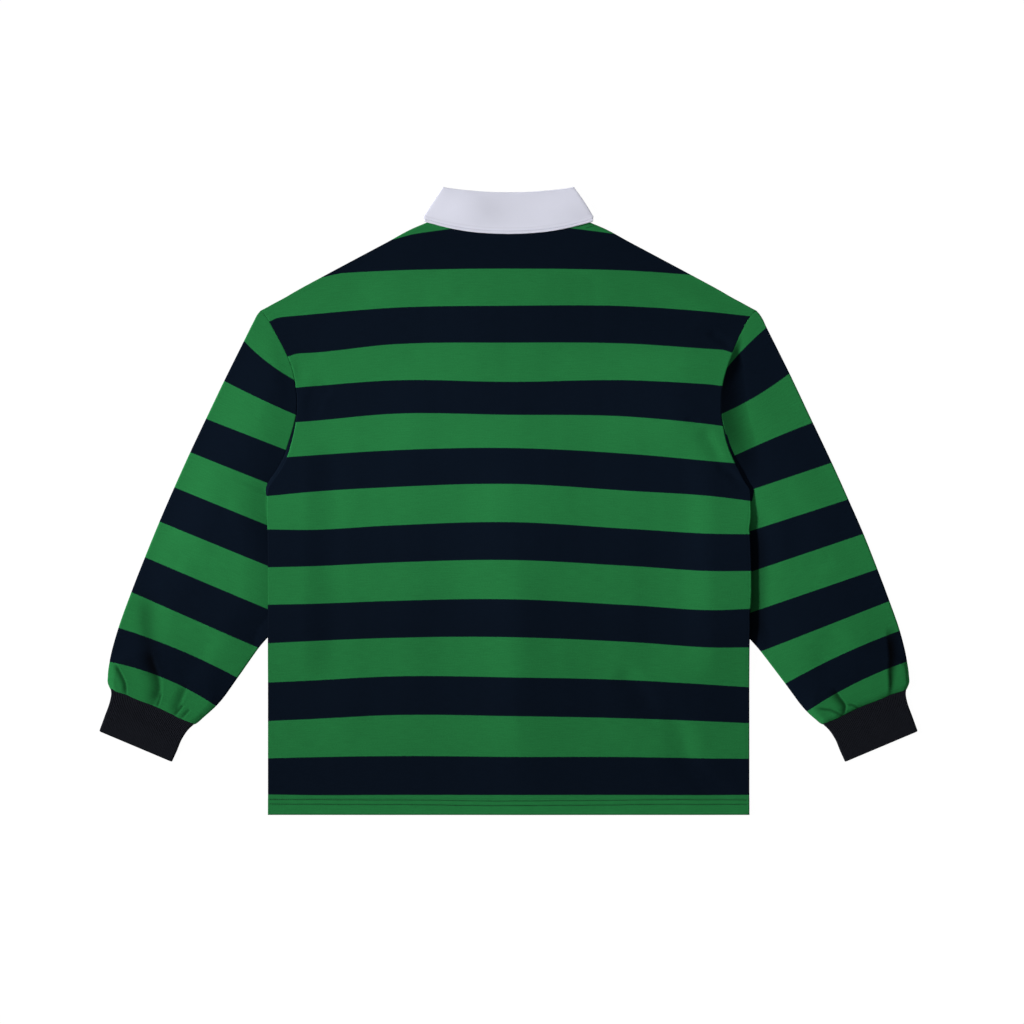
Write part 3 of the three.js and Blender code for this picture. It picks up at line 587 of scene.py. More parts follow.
def jersey_material():
    """Plain knitting in green and navy hoops, a little uneven, with painted shade wherever the piece says so.
    """
    material, tree, shader = new_finish("hooped jersey", 0.95, 0.04)
    hoop, across, edge = number_on(tree, "hoop"), number_on(tree, "across"), number_on(tree, "edge")
    along = hoop * HOOP_DEPTH
    ragged = hoop + (noise(tree, across * 1.3, along * 1.3) - 0.5) * HOOP_BORDER["ragged"]
    border = ragged.maths("SINE", ragged * math.pi)
    navy = (border * HOOP_BORDER["sharp"] + 0.5).share()
    streak = noise(tree, across * 0.06, along * 0.8, 3.0)
    grain = noise(tree, across * 0.55, along * 0.95, 3.0)
    patch = noise(tree, across * 0.02, along * 0.02, 2.0)
    # A painted highlight beside the hoop borders.
    border_highlight = (1 - border.size() / (HOOP_BORDER["width"] * 2 * math.pi)).share()
    # Painted shade along the back's folds.
    rim = (1 - edge / RIM_SHADE["width"]).share()
    # Painted shade over the low hoops, where the light falls off.
    low_hoop_shade = (((hoop - LOW_HOOP_SHADE["from"]) / LOW_HOOP_SHADE["over"]).share()
              * (1 - ((hoop - LOW_HOOP_SHADE["to"]) / LOW_HOOP_SHADE["fade"]).share() * 0.7))
    # The cloth's uneven tone, with the painted highlight and the painted shade above.
    uneven = (UNEVEN_TONE_AND_HIGHLIGHT["plain"] + streak * UNEVEN_TONE_AND_HIGHLIGHT["streak"] + grain * UNEVEN_TONE_AND_HIGHLIGHT["grain"] + patch * UNEVEN_TONE_AND_HIGHLIGHT["patch"]
              + border_highlight * UNEVEN_TONE_AND_HIGHLIGHT["border"] - rim * RIM_SHADE["dark"] - low_hoop_shade * LOW_HOOP_SHADE["dark"])
    # Painted shade wherever the piece carries it: in its creases, in the hem's grooves and beside the body.
    uneven = uneven * (1 - number_on(tree, "painted_shade"))
    colour = blend(tree, navy, GREEN, NAVY)
    tree.links.new(shaded(tree, colour, uneven).socket, shader.inputs["Base Color"])
    raise_surface(tree, shader, knitted(across, along, JERSEY["wale"], JERSEY["course"]), JERSEY["relief"])
    return material


jersey = jersey_material()


def back_sag(y):
    """How far the rows of the back hang in the middle, and the shape in which they do, up to its neckline."""
    share = smoothstep(y, TIP_Y, NECK["y"])
    return NECK["back_drop"] * share, 2 - 1.5 * share


FAR = 9  # so far in from an edge that the edge no longer matters
RIM_UP_TO = -110  # higher up, the right fold gets no painted shade
x, y, from_side = panel_grid(1.0, back_sag)
# How far each spot is from a fold that gets painted shade: none does on the right above RIM_UP_TO, nor
# anywhere above the underarm.
to_rim = np.where((x > 0) & (y > RIM_UP_TO) | (y > UNDERARM_Y), FAR, from_edge(y, from_side))
back = wall("back", xyz(x, y, back_high(x, y, from_side)), xyz(x, y, back_low(x, y, from_side)),
            {"hoop": hoop_of_body(x, y), "across": x, "edge": to_rim,
             "painted_shade": HEM["painted_shade"] * hem_grooves(x, y)}, jersey)
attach(back, "root")
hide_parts("back_panel")


# ---- Front panel ----
# The same cut of jersey as the back, with a neckline that is nine centimetres deep at the middle. It lies
# face down under the back, flat on the table but where a sleeve, a collar leaf or the placket lies under
# it.
FRONT_COARSE = 1.6
FRONT_SAG = {"y": 60, "depth": 46}
FRONT_CREASES = [
    {"line": [(-230, -60), (-180, -96), (-120, -150)], "deep": 0.35, "left": 12, "right": 8},
    {"line": [(236, 10), (190, -44), (160, -110)], "deep": 0.4, "left": 12, "right": 8},
    {"line": [(-60, -250), (-20, -290), (30, -340)], "deep": 0.35, "left": 12, "right": 9},
    {"line": [(120, 60), (150, 20), (170, -30)], "deep": 0.35, "left": 10, "right": 8},
    {"line": [(-150, 60), (-120, 0), (-110, -50)], "deep": 0.3, "left": 12, "right": 9},
]


def front_sag(y):
    """How far the rows of the front hang, down to its deep neckline, and the shape in which they do."""
    share = smoothstep(y, TIP_Y, NECK["y"])
    depth = FRONT_SAG["depth"] * smoothstep(y, FRONT_SAG["y"], TIP_Y)
    return depth + (NECK["front_drop"] - FRONT_SAG["depth"]) * share, 2 - 1.5 * share


def front_low(x, y, from_side):
    """The face of the front panel, which is underneath. Its creases lift it off the table."""
    return under_room(x, y) + np.maximum(all_creases(x, y, FRONT_CREASES), 0) * smoothstep(from_side, 4, 30)


def front_face(x, y, from_side):
    """The face of the front, with its hem's stitches drawn in and its edges rounded."""
    drawn_in = HEM["groove"] * hem_grooves(x, y)
    return front_low(x, y, from_side) + rounded(from_edge(y, from_side), FOLD_RADIUS) + drawn_in


x, y, from_side = panel_grid(FRONT_COARSE, front_sag)
high = front_low(x, y, from_side) + CLOTH + hem_extra(y)
front = wall("front", xyz(x, y, high), xyz(x, y, front_face(x, y, from_side)),
             {"hoop": hoop_of_body(x, y), "across": x, "edge": np.full_like(x, FAR)}, jersey)
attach(front, "root")
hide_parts("front_panel")


# ---- Hem stitches ----
# Two rows of dark green thread hold the turned-up hem, on the back and on the front. Each stitch is a short
# strand that is drawn into the cloth at both ends.
HEM_STITCH = {"pitch": 2.7, "long": 2.3, "radius": 0.4}
THREAD_RINGS = ((-0.5, 0.25), (-0.34, 0.85), (0, 1), (0.34, 0.85), (0.5, 0.25))  # place along it and girth
THREAD_SIDES = 6
THREAD_LEAN = 0.1  # no two stitches lie quite in line
HEM_THREAD = (0.0035, 0.027, 0.013, 1)


def stitches(lines, pitch, long, radius, dive=0.6):
    """Points and faces of rows of stitches, each row along a line of points that lies on the cloth's face."""
    points, faces = [], []
    turn = np.linspace(0, 2 * math.pi, THREAD_SIDES, endpoint=False)
    for line in lines:
        line = np.asarray(line, float)
        far = np.concatenate([[0], np.cumsum(np.linalg.norm(np.diff(line, axis=0), axis=1))])
        middles = np.arange(pitch * 0.6, far[-1] - pitch * 0.4, pitch)
        for n, middle in enumerate(middles):
            spot = np.array([np.interp(middle, far, line[:, k]) for k in range(3)])
            ahead = np.array([np.interp(middle + 0.5, far, line[:, k]) for k in range(3)])
            along = (ahead - spot) / np.linalg.norm(ahead - spot)
            sideways = np.cross((0, 0, 1), along)
            sideways /= np.linalg.norm(sideways)
            up = np.cross(along, sideways)
            lean = THREAD_LEAN * math.sin(n * 2.4)
            first = len(points)
            for place, girth in THREAD_RINGS:
                centre = (spot + along * place * long + sideways * (lean * place)
                          - up * radius * dive * (2 * place) ** 2)
                points.extend(centre + radius * girth * (math.cos(angle) * sideways + math.sin(angle) * up)
                              for angle in turn)
            for ring in range(first, first + (len(THREAD_RINGS) - 1) * THREAD_SIDES, THREAD_SIDES):
                for k in range(THREAD_SIDES):
                    a, b = ring + k, ring + (k + 1) % THREAD_SIDES
                    faces.append((a, b, b + THREAD_SIDES, a + THREAD_SIDES))
            faces.append(tuple(range(first + THREAD_SIDES - 1, first - 1, -1)))
            last = first + (len(THREAD_RINGS) - 1) * THREAD_SIDES
            faces.append(tuple(range(last, last + THREAD_SIDES)))
    return points, faces


def thread_material(name, colour):
    """Twisted sewing thread: fine slanting plies, a little uneven in colour."""
    material, tree, shader = new_finish(name, 0.7, 0.15)
    spot = Wire.node(tree, "ShaderNodeTexCoord", {}, {}, "Object")
    parts = [Wire.node(tree, "ShaderNodeSeparateXYZ", {}, {0: spot}, k) * (1 / MM) for k in range(2)]
    plies = (parts[0] + parts[1] * 0.8).wave(0.33) * 0.5 + 0.5
    shade = 0.82 + plies * 0.2 + noise(tree, parts[0] * 0.7, parts[1] * 0.7) * 0.16
    plain = blend(tree, plies * 0.2, colour, tuple(0.7 * c for c in colour[:3]) + (1,))
    tree.links.new(shaded(tree, plain, shade).socket, shader.inputs["Base Color"])
    raise_surface(tree, shader, plies, 0.06)
    return material


def sewn(name, lines, stitch, material, slot):
    """Rows of stitches as one piece."""
    points, faces = stitches(lines, **stitch)
    mesh = bpy.data.meshes.new(name)
    mesh.from_pydata((np.array(points) * MM).tolist(), [], faces)
    piece = piece_of(name, mesh, material)
    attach(piece, "root")
    return piece


dark_thread = thread_material("hem thread", HEM_THREAD)
NECK_SEAM = [[(81, 328), (90, 330.6), (100, 332.4)], [(92.4, 327), (98, 329), (104.6, 330.5)]]


def hem_line(row, face, nudge):
    """A row of the hem from side to side, which wanders a little and turns at its ends."""
    x = np.linspace(-HALF_CHEST + 1.6, HALF_CHEST - 1.6, 700)
    y = stitch_row(x, row) + 0.25 * np.sin(x / 23 + row) + 0.15 * np.sin(x / 7.7)
    end = smoothstep(abs(x), HALF_CHEST - 9, HALF_CHEST - 1)
    y = y - 0.7 * end * np.where(x > 0, 1, -0.7)
    z = face(x, y, HALF_CHEST - abs(x))
    return xyz(x, y, z + nudge)


def neck_line(points):
    """A short row beside the collar, through three points on the back."""
    x, y = (np.interp(np.linspace(0, 2, 30), range(3), part) for part in zip(*points))
    return xyz(x, y, back_high(x, y, np.full_like(x, FAR)) - 0.05)


neck_seam = sewn("neck_seam_stitches", [neck_line(points) for points in NECK_SEAM],
                 {**HEM_STITCH, "pitch": 2.2}, dark_thread, "jersey")
back_hem = sewn("back_hem_stitches", [hem_line(row, back_high, 0.1) for row in HEM["rows"]], HEM_STITCH,
                dark_thread, "jersey")
front_hem = sewn("front_hem_stitches", [hem_line(row, front_face, 0) for row in HEM["rows"]],
                 {**HEM_STITCH, "radius": 0.34, "dive": -0.6}, dark_thread, "jersey")


# ---- Sleeves ----
# Two long sleeves of the same jersey, each cut flat, folded along its outer edge and sewn up along its
# inner one. They are set into the armholes, tucked a little way under the body, and gathered into the
# cuffs.

# The tables give each hoop edge from the shoulder tip to the cuff, as if on the right side: its end on the
# outer edge, its end on the armhole or the inner edge, how far its middle bows towards the cuff, and how
# high the cloth stands.
SLEEVE = {
    "right": {
        "hoop": [0, 0.12, 0.4, 1, 2, 3, 4, 5, 6, 7, 8, 9, 10, 10.55, 10.85, 11],
        "out_x": [297.6, 300.4, 304.4, 309.6, 337, 364.5, 387, 406.6,
                  424.8, 441.5, 456, 468.4, 477.6, 480.4, 480.2, 477.2],
        "out_y": [228.2, 225.2, 219.2, 208.4, 153, 94, 45.6, 1.7,
                  -39.8, -82, -120.5, -156, -192.8, -209, -219.5, -226],
        "in_x": [297, 292, 280, 262.4, 255.8, 268, 288, 271,
                 264, 272, 304.2, 333.5, 358.6, 368.9, 374.6, 378.1],
        "in_y": [228.6, 221.6, 203, 159.7, 104, 54, 14, -42,
                 -94, -140, -180, -218.4, -252, -262.4, -266.6, -268],
        "bow": [0, 0, 0, -1.5, 3, -1, 0, 0, 0, 0, 0, -3.5, -4.5, -3, -2, -2],
        "rise": [0.1, 0.3, 0.8, 1.2, 1.4, 1.6, 2.2, 2.4, 2.4, 2.4, 2.6, 3.3, 4.0, 4.4, 3.9, 2.3],
    },
    "left": {
        "hoop": [0, 0.12, 0.4, 1, 2, 3, 4, 5, 6, 7, 8, 9, 10, 10.55, 10.85, 11],
        "out_x": [297.6, 300.8, 305.6, 317.4, 341, 362.3, 381, 399.7,
                  417.6, 435, 451.4, 466.8, 478, 480.6, 480.2, 477.2],
        "out_y": [228.2, 224.4, 215.6, 192, 144, 98.5, 58, 16.1,
                  -25.1, -67.8, -109.7, -152.4, -193.1, -209, -219.5, -226],
        "in_x": [297, 292, 278, 257.2, 255, 263.5, 286.5, 272,
                 264, 271, 301.2, 326.4, 351.6, 365.6, 374.2, 378.1],
        "in_y": [228.6, 221.6, 199, 145, 103, 61, 21, -36,
                 -88, -137, -175.7, -211.4, -245.6, -259.4, -266.4, -268],
        "bow": [0, 0, 1.5, 3, 1, 0, 0, 0, 0, 0, 0, -4, -7, -4, -2, -2],
        "rise": [0.1, 0.4, 1.2, 2.6, 3.4, 3.8, 4.4, 4.8, 4.8, 4.5, 3.8, 3.0, 2.6, 2.5, 2.5, 2.3],
    },
}
UNDERARM_HOOP = 4
CUFF_HOOP = 11
SLEEVE_HOOPS = np.concatenate([np.linspace(0, 9, 140), np.linspace(9, CUFF_HOOP, 96)[1:]])
GATHERS = {"high": 0.8, "wave": 5.6, "from": 10.2}  # the cuff draws its seam into small waves
FOLD = CLOTH + SEAM / 2  # outer radius of the fold along the outer edge
EDGE_ROUND = {"over": 1.0, "under": 0.9, "end": 1.1}  # of its inner edge, above and below, and of its end
# A sleeve swells from its edges inwards. It is pressed flat where the body's side lies beside it, and near
# the cuff it is round almost up to its edges. Its fades are counted in hoops.
SWELL_FROM = {"outer": 62, "inner": 44}
PRESSED = {"left": 17, "right": 28, "fades_out": (7.4, 8.4)}
CUFF_SWELL_FROM = {
    "left": {"outer": 9, "inner": 9}, "right": {"outer": 4, "inner": 9}, "fades_in": (9.0, 10.2),
}
FULLER = {"by": 1.2, "inner": 1.4, "fades": (1, 5, 9.5, 10.6)}  # each edge stands out, half way down
SEWN_IN = 0.5  # how far the sleeve reaches under the edge of the body

# The gathers and creases of each sleeve, listed as the back's are; dark, where given, is how strong the
# painted shade in a crease is.
SLEEVE_CREASES = {
    "left": [
        {"line": [(-474, -190), (-466, -204), (-459.5, -218), (-458, -231)],
         "deep": 1.0, "left": 3.2, "right": 1.0, "dark": 0.62},
        {"line": [(-437, -98), (-435, -130), (-434, -152), (-431, -178), (-427, -198)],
         "deep": 0.5, "left": 9, "right": 11, "dark": 0.36},
        {"line": [(-432, -172), (-427, -194), (-421.4, -209), (-419.6, -226), (-424.6, -242)],
         "deep": 1.2, "left": 9, "right": 3, "dark": 0.62},
        {"line": [(-415.5, -228), (-417.5, -238), (-420.5, -246)],
         "deep": 0.8, "left": 1.8, "right": 1.0, "dark": 0.4},
        {"line": [(-384, -216), (-390, -230), (-395, -242), (-400, -254)],
         "deep": 0.8, "left": 5.4, "right": 2.4, "soft": 1.6, "dark": 0.42},
        {"line": [(-389, -243), (-393, -249), (-399, -256)],
         "deep": 0.9, "left": 2.0, "right": 1.0, "dark": 0.5},
        {"line": [(-381, -249), (-385.5, -254), (-391, -260)],
         "deep": 0.7, "left": 2.4, "right": 1.2, "dark": 0.4},
        {"line": [(-352, -150), (-370, -186), (-392, -216)], "deep": 0.9, "left": 18, "right": 12},
        {"line": [(-404, -72), (-384, -66), (-362, -74)], "deep": 0.6, "left": 9, "right": 7},
        {"line": [(-318, 60), (-330, 20), (-352, -24)], "deep": 0.6, "left": 18, "right": 14},
    ],
    "right": [
        {"line": [(453, -146), (455.4, -166), (457.4, -186), (456.6, -204), (457.4, -216), (456.8, -234)],
         "deep": 0.6, "left": 1.7, "right": 2.8, "soft": 4.2, "dark": 0.9},
        {"line": [(389, -222), (396, -234), (403.5, -245), (402.2, -256)],
         "deep": 0.9, "left": 4.6, "right": 1.2, "soft": 1.6, "dark": 0.76},
        {"line": [(367, -248), (378, -249.6), (388, -251), (400, -257)],
         "deep": 0.8, "left": 1.6, "right": 1.4, "dark": 0.5},
        {"line": [(405, -243.5), (415, -245.5), (421, -250)],
         "deep": 0.8, "left": 1.6, "right": 1.3, "dark": 0.5},
        {"line": [(398, -150), (384, -176), (372, -206)], "deep": 0.9, "left": 14, "right": 18},
        {"line": [(392, -66), (376, -76), (352, -80)], "deep": 0.6, "left": 9, "right": 7},
        {"line": [(322, 40), (338, 2), (352, -40)], "deep": 0.6, "left": 18, "right": 14},
    ],
}
# Painted shade darkens the cloth where little light reaches it: beside the armhole, and as a painted
# shadow beside the side fold that stands over the sleeve. Its creases included, it is never darker than
# the last of these.
PAINTED_SLEEVE_SHADE = {
    "armhole": {"left": 0, "right": 0.3, "from": 8, "to": 34},
    "side": {"left": 0, "right": 0.5, "from": 6, "to": 26, "fades": (-180, -150, -60, 0)},
    "most": 0.85,
}
SLEEVE_LEAST_AIR = 0.03  # as LEAST_AIR is for the back


def read_table(table, by, where):
    """Every other column of a table, read smoothly at places in the column named by, and its two edges."""
    read = {key: smooth(table[by], table[key], where) for key in table if key != by}
    return read, *(np.stack([read[f"{edge}_x"], read[f"{edge}_y"]], -1) for edge in ("out", "in"))


def sleeve(side):
    """A closed wall of cloth: the lower layer, the fold along the outer edge and the upper layer."""
    mirror = -1 if side == "left" else 1
    hoops = SLEEVE_HOOPS
    read, outer, inner = read_table(SLEEVE[side], "hoop", hoops)
    above = inner[:, 1] > UNDERARM_Y
    seam_y = inner[above, 1]
    shows = np.clip(smooth(ARMHOLE["y"], ARMHOLE[f"turned_{side}"], seam_y), 0, None)
    inner[above, 0] = side_of_body(side, np.minimum(seam_y, TIP_Y)) + shows - SEWN_IN
    wide = np.hypot(*(inner - outer).T)[:, None]
    way = (inner - outer) / wide
    down = np.stack([-way[:, 1], way[:, 0]], -1)
    level = hoops[:, None]
    fuller = FULLER["by"] * band(level, *FULLER["fades"])
    outer, inner = outer - fuller * way, inner + FULLER["inner"] * fuller * way * smoothstep(level, 5, 6)
    wide = np.hypot(*(inner - outer).T)[:, None]

    def spots(distance, height):
        """Points at distances in from the outer edge, on every row."""
        share = distance / wide
        scallops = 0.5 + 0.5 * np.sin(distance / GATHERS["wave"] + 1.5 * np.sin(distance / 19))
        bowed = (read["bow"][:, None] * 4 * share * (1 - share)
                 + GATHERS["high"] * scallops * smoothstep(level, GATHERS["from"], CUFF_HOOP))
        flat = outer[:, None] + way[:, None] * distance[..., None] + down[:, None] * bowed[..., None]
        return xyz(mirror * flat[..., 0], flat[..., 1], height)

    pressed = PRESSED[side] * band(level, UNDERARM_HOOP - 0.1, UNDERARM_HOOP + 0.9, *PRESSED["fades_out"])
    near_cuff = smoothstep(level, *CUFF_SWELL_FROM["fades_in"])
    from_outer, from_inner = (SWELL_FROM[key] + (CUFF_SWELL_FROM[side][key] - SWELL_FROM[key]) * near_cuff
                              for key in ("outer", "inner"))

    def rise(distance):
        """How far the upper layer stands up from lying flat."""
        risen = np.sin(0.5 * math.pi * np.clip((wide - distance - pressed) / from_inner, 0, 1))
        body = smoothstep(distance, 0, from_outer) * risen
        flat = spots(distance, 0.0)
        x, y = flat[..., 0], flat[..., 1]
        sunk = all_creases(x, y, SLEEVE_CREASES[side]) * smoothstep(distance, 0, 5)
        lift = seam_rise(side, y, wide - distance, "sleeve") * (level < UNDERARM_HOOP + 0.2)
        up = body * (read["rise"][:, None] + cloth_waves(x + 40, y) * 0.9) + lift - sunk
        return np.maximum(up, SLEEVE_LEAST_AIR * up)

    def painted_shade(distance):
        """How much painted shade darkens the cloth, in its creases and beside the body."""
        flat = spots(distance, 0.0)
        x, y = flat[..., 0], flat[..., 1]
        creased = sum(crease(x, y, **{**one, "deep": one.get("dark", 0), "lips": 0})
                      for one in SLEEVE_CREASES[side])
        hole, fold = PAINTED_SLEEVE_SHADE["armhole"], PAINTED_SLEEVE_SHADE["side"]
        near_hole = 1 - smoothstep(wide - distance, hole["from"], hole["to"])
        beside_hole = (hole[side] * seam_rise(side, y, 0 * y, "sleeve") / SEAM_RISE[side]["high_by"]
                       * near_hole * (level < UNDERARM_HOOP + 0.2))
        near_fold = 1 - smoothstep(abs(x) - side_of_body(side, y), fold["from"], fold["to"])
        beside_fold = fold[side] * near_fold * band(y, *fold["fades"])
        return np.clip(np.maximum(creased, beside_hole + beside_fold), 0, PAINTED_SLEEVE_SHADE["most"])

    across = np.concatenate([[0, 0.012, 0.03], np.linspace(0.055, 0.97, 112), [0.985, 0.993, 1]])
    over = FOLD + (wide - FOLD) * across
    under = FOLD + (wide - FOLD) * np.linspace(1, 0.03, 20)
    angle = np.radians([-90, -65, -40, -15, 10, 35, 60])
    up = rise(over)
    round_over = rounded(wide - over, EDGE_ROUND["over"])
    round_under = rounded(wide - under, EDGE_ROUND["under"])
    end = rounded((CUFF_HOOP - level) * 30, EDGE_ROUND["end"])  # the raw end turns in towards the cuff

    def arc(radius):
        """The cloth's turn round the fold."""
        distance = np.broadcast_to(FOLD - radius * np.cos(angle), (len(hoops), len(angle)))
        return spots(distance, FOLD + radius * np.sin(angle))

    outside = np.concatenate([spots(under, round_under), arc(FOLD),
                              spots(over, 2 * FOLD + up - round_over - end)], 1)
    inside = np.concatenate([spots(under, CLOTH), arc(SEAM / 2), spots(over, PLY + up)], 1)
    distance = np.concatenate([-under, np.broadcast_to(angle, (len(hoops), len(angle))), over], 1)
    unseen = np.zeros((len(hoops), under.shape[1] + len(angle)))
    numbers = {"hoop": np.broadcast_to(level + 1, distance.shape), "across": distance,
               "edge": np.full_like(distance, FAR), "painted_shade": np.concatenate([unseen, painted_shade(over)], 1)}
    return wall(f"sleeve_{side}_cloth", outside, inside, numbers, jersey)


sleeves = {}
for side in ("left", "right"):
    sleeves[side] = sleeve(side)
    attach(sleeves[side], "root")
    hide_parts(f"sleeve_{side}")


# ---- Armhole seams ----
# The overlocked allowance of each armhole seam. It closes the joint between the body and the sleeve. Low
# down it shows as a narrow navy strip, where the body's fold draws away from the sleeve.

# How far it reaches under each piece, how thick it is, how high it is crowned, how far it lies below the
# two, how much lower it is at its end and where it is hidden, and how far it runs on past the underarm.
ALLOWANCE = {"under": 1.6, "thick": 0.9, "crown": 0.35, "below": 0.75, "end": 0.8, "hidden": 0.9, "past": 8}
STRIP_HOOP = 0.5  # all navy


def sleeve_top(side, y):
    """How high the sleeve lies at the armhole seam."""
    return 2 * FOLD + seam_rise(side, y, np.zeros_like(y), "sleeve")


def armhole_seam(side):
    """One allowance, from just below the underarm up to the shoulder's tip."""
    mirror = -1 if side == "left" else 1
    first_y = UNDERARM_Y - ALLOWANCE["past"]
    y = np.linspace(first_y, TIP_Y - 1.5, 140)
    body = side_of_body(side, y)
    shows = np.clip(smooth(ARMHOLE["y"], ARMHOLE[f"turned_{side}"], y), 0, None)
    first, last = body - ALLOWANCE["under"], body + shows + ALLOWANCE["under"]
    share = np.linspace(0, 1, 11)
    x = first[:, None] + (last - first)[:, None] * share
    from_body = back_high(mirror * body, y, np.full_like(y, 2.0)) - ALLOWANCE["below"]
    from_sleeve = np.minimum(sleeve_top(side, y), from_body + 0.2) - ALLOWANCE["below"]
    z = from_body[:, None] + (from_sleeve - from_body)[:, None] * share
    z = z + ALLOWANCE["crown"] * np.sin(math.pi * share) * np.minimum(shows, 1.5)[:, None]
    z = z - ALLOWANCE["end"] * (1 - smoothstep(y, first_y, UNDERARM_Y + 2))[:, None]
    z = z - ALLOWANCE["hidden"] * (1 - np.clip(shows / 0.6, 0, 1))[:, None]
    rows = np.broadcast_to(y[:, None], x.shape)
    hoop = np.where(shows[:, None] > 0.3, STRIP_HOOP, hoop_of_body(mirror * x, rows))
    seam = wall(f"armhole_seam_{side}", xyz(mirror * x, rows, z),
                xyz(mirror * x, rows, z - ALLOWANCE["thick"]),
                {"hoop": hoop, "across": x, "edge": np.full_like(x, FAR)}, jersey)
    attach(seam, "root")
    return seam


armhole_seams = {side: armhole_seam(side) for side in ("left", "right")}


# ---- Cuffs ----
# Each sleeve ends in a cuff of near-black ribbed knitting, doubled over and sewn on as a tube. Its ribs
# stand up where the sleeve draws it in, and flatten out towards its open end.
RIB_CLOTH = 2.2
CUFF_LENGTH = 51
CUFF = {
    "share": [0, 0.10, 0.28, 0.62, 1],
    "out_x": [477.0, 476.6, 478.2, 484.6, 491.0],
    "out_y": [-226.5, -231.2, -240.4, -258.6, -276.2],
    "in_x": [378.2, 383.4, 390.4, 397.6, 403.7],
    "in_y": [-268.8, -273.6, -283.4, -299.6, -313.0],
    "bow": [-1.4, -1.2, -0.6, -0.3, 0],
}
CUFF_RADIUS = RIB_CLOTH + SEAM
RIBS = 46
RIB_STEPS = 6  # points on each rib
RIB_DEPTH = {"share": [-0.03, 0, 0.03, 0.4, 0.8, 0.97, 1], "depth": [0.1, 0.2, 0.5, 0.42, 0.2, 0.1, 0.0]}
# The rows of a cuff, as shares of its length. They lie closer where it is sewn on and at its open end.
CUFF_ROWS = (-0.07, -0.062, -0.05, -0.038, -0.026, -0.016, -0.008, 0, 0.01, 0.02,
             *np.linspace(0.04, 0.95, 22), 0.968, 0.98, 0.99, 0.997, 1)
CUFF_ROUND = {"corner": 1.6, "end": 1.1}  # of its open end, in the outline and in its thickness
SEWN_THIN = 1.9  # how much thinner the cuff is where it is sewn into the sleeve
RIB_COLOUR = (0.0078, 0.0086, 0.0120, 1)
RIB_KNIT = {"wale": 1.05, "course": 0.9, "relief": 0.10}


def rib_material():
    """Near-black ribbed knitting with a little lint."""
    material, tree, shader = new_finish("ribbed knitting", 0.95, 0.04)
    across, along = number_on(tree, "across"), number_on(tree, "along")
    lint = noise(tree, across * 0.9, along * 0.9, 3.0)
    patch = noise(tree, across * 0.05, along * 0.05)
    uneven = 0.62 + lint * 0.56 + patch * 0.2
    colour = blend(tree, patch * 0.3, RIB_COLOUR, tuple(0.8 * c for c in RIB_COLOUR[:3]) + (1,))
    tree.links.new(shaded(tree, colour, uneven).socket, shader.inputs["Base Color"])
    loops = knitted(across, along, RIB_KNIT["wale"], RIB_KNIT["course"])
    raise_surface(tree, shader, loops, RIB_KNIT["relief"])
    return material


ribbing = rib_material()


def cuff(side):
    """A flattened tube of ribbing, a little thinner where it goes into the sleeve."""
    mirror = -1 if side == "left" else 1
    share = np.array(CUFF_ROWS)
    read, outer, inner = read_table(CUFF, "share", share)
    wide = np.hypot(*(inner - outer).T)[:, None]
    way = (inner - outer) / wide
    from_end = (1 - share) * CUFF_LENGTH
    turned = rounded(from_end, CUFF_ROUND["corner"])[:, None]
    outer, inner, wide = outer + turned * way, inner - turned * way, wide - 2 * turned
    down = np.stack([-way[:, 1], way[:, 0]], -1)
    depth = np.interp(share, RIB_DEPTH["share"], RIB_DEPTH["depth"])[:, None]
    sewn_thin = SEWN_THIN * (1 - smoothstep(share, -0.05, -0.012))
    thin = np.maximum(rounded(from_end, CUFF_ROUND["end"]), sewn_thin)[:, None]

    def ring(radius, ribbed):
        """Points once round the tube, and how far across the cuff each lies."""
        flat = wide - 2 * CUFF_RADIUS
        across = np.linspace(0, 1, RIBS * RIB_STEPS + 1)
        under = CUFF_RADIUS + flat * np.linspace(1, 0, 40)
        over = CUFF_RADIUS + flat * across
        angle = np.radians(np.linspace(-75, 75, 8))
        groove = depth * ribbed * np.abs(np.cos(math.pi * RIBS * across)) ** 3
        first = np.broadcast_to(CUFF_RADIUS - radius * np.cos(angle), (len(share), len(angle)))
        last = wide - CUFF_RADIUS + radius * np.cos(angle)
        slim = thin * ribbed
        distance = np.concatenate([under, first, over, last], 1)
        bend = (radius - slim) * np.sin(angle)
        height = CUFF_RADIUS + np.concatenate([slim - radius + 0 * under, bend + 0 * first,
                                               radius - groove - slim, 0 * last - bend], 1)
        place = distance / wide
        bowed = read["bow"][:, None] * 4 * place * (1 - place)
        spot = outer[:, None] + way[:, None] * distance[..., None] + down[:, None] * bowed[..., None]
        return xyz(mirror * spot[..., 0], spot[..., 1], height), distance

    outside, distance = ring(CUFF_RADIUS, 1)
    inside, _ = ring(SEAM, 0)
    along = np.broadcast_to(share[:, None] * CUFF_LENGTH, distance.shape)
    return wall(f"cuff_{side}_rib", outside, inside, {"across": distance, "along": along}, ribbing,
                ring=True)


cuffs = {}
for side in ("left", "right"):
    cuffs[side] = cuff(side)
    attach(cuffs[side], "root")
    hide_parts(f"cuff_{side}")


# ---- Collar ----
# A plain white twill collar, cut in one piece with its stand. It is sewn to the neck, stands up inside it
# and folds over at the top, so that its fall lies on the back and its two points lie under the front. Its
# edge is turned in and stitched.

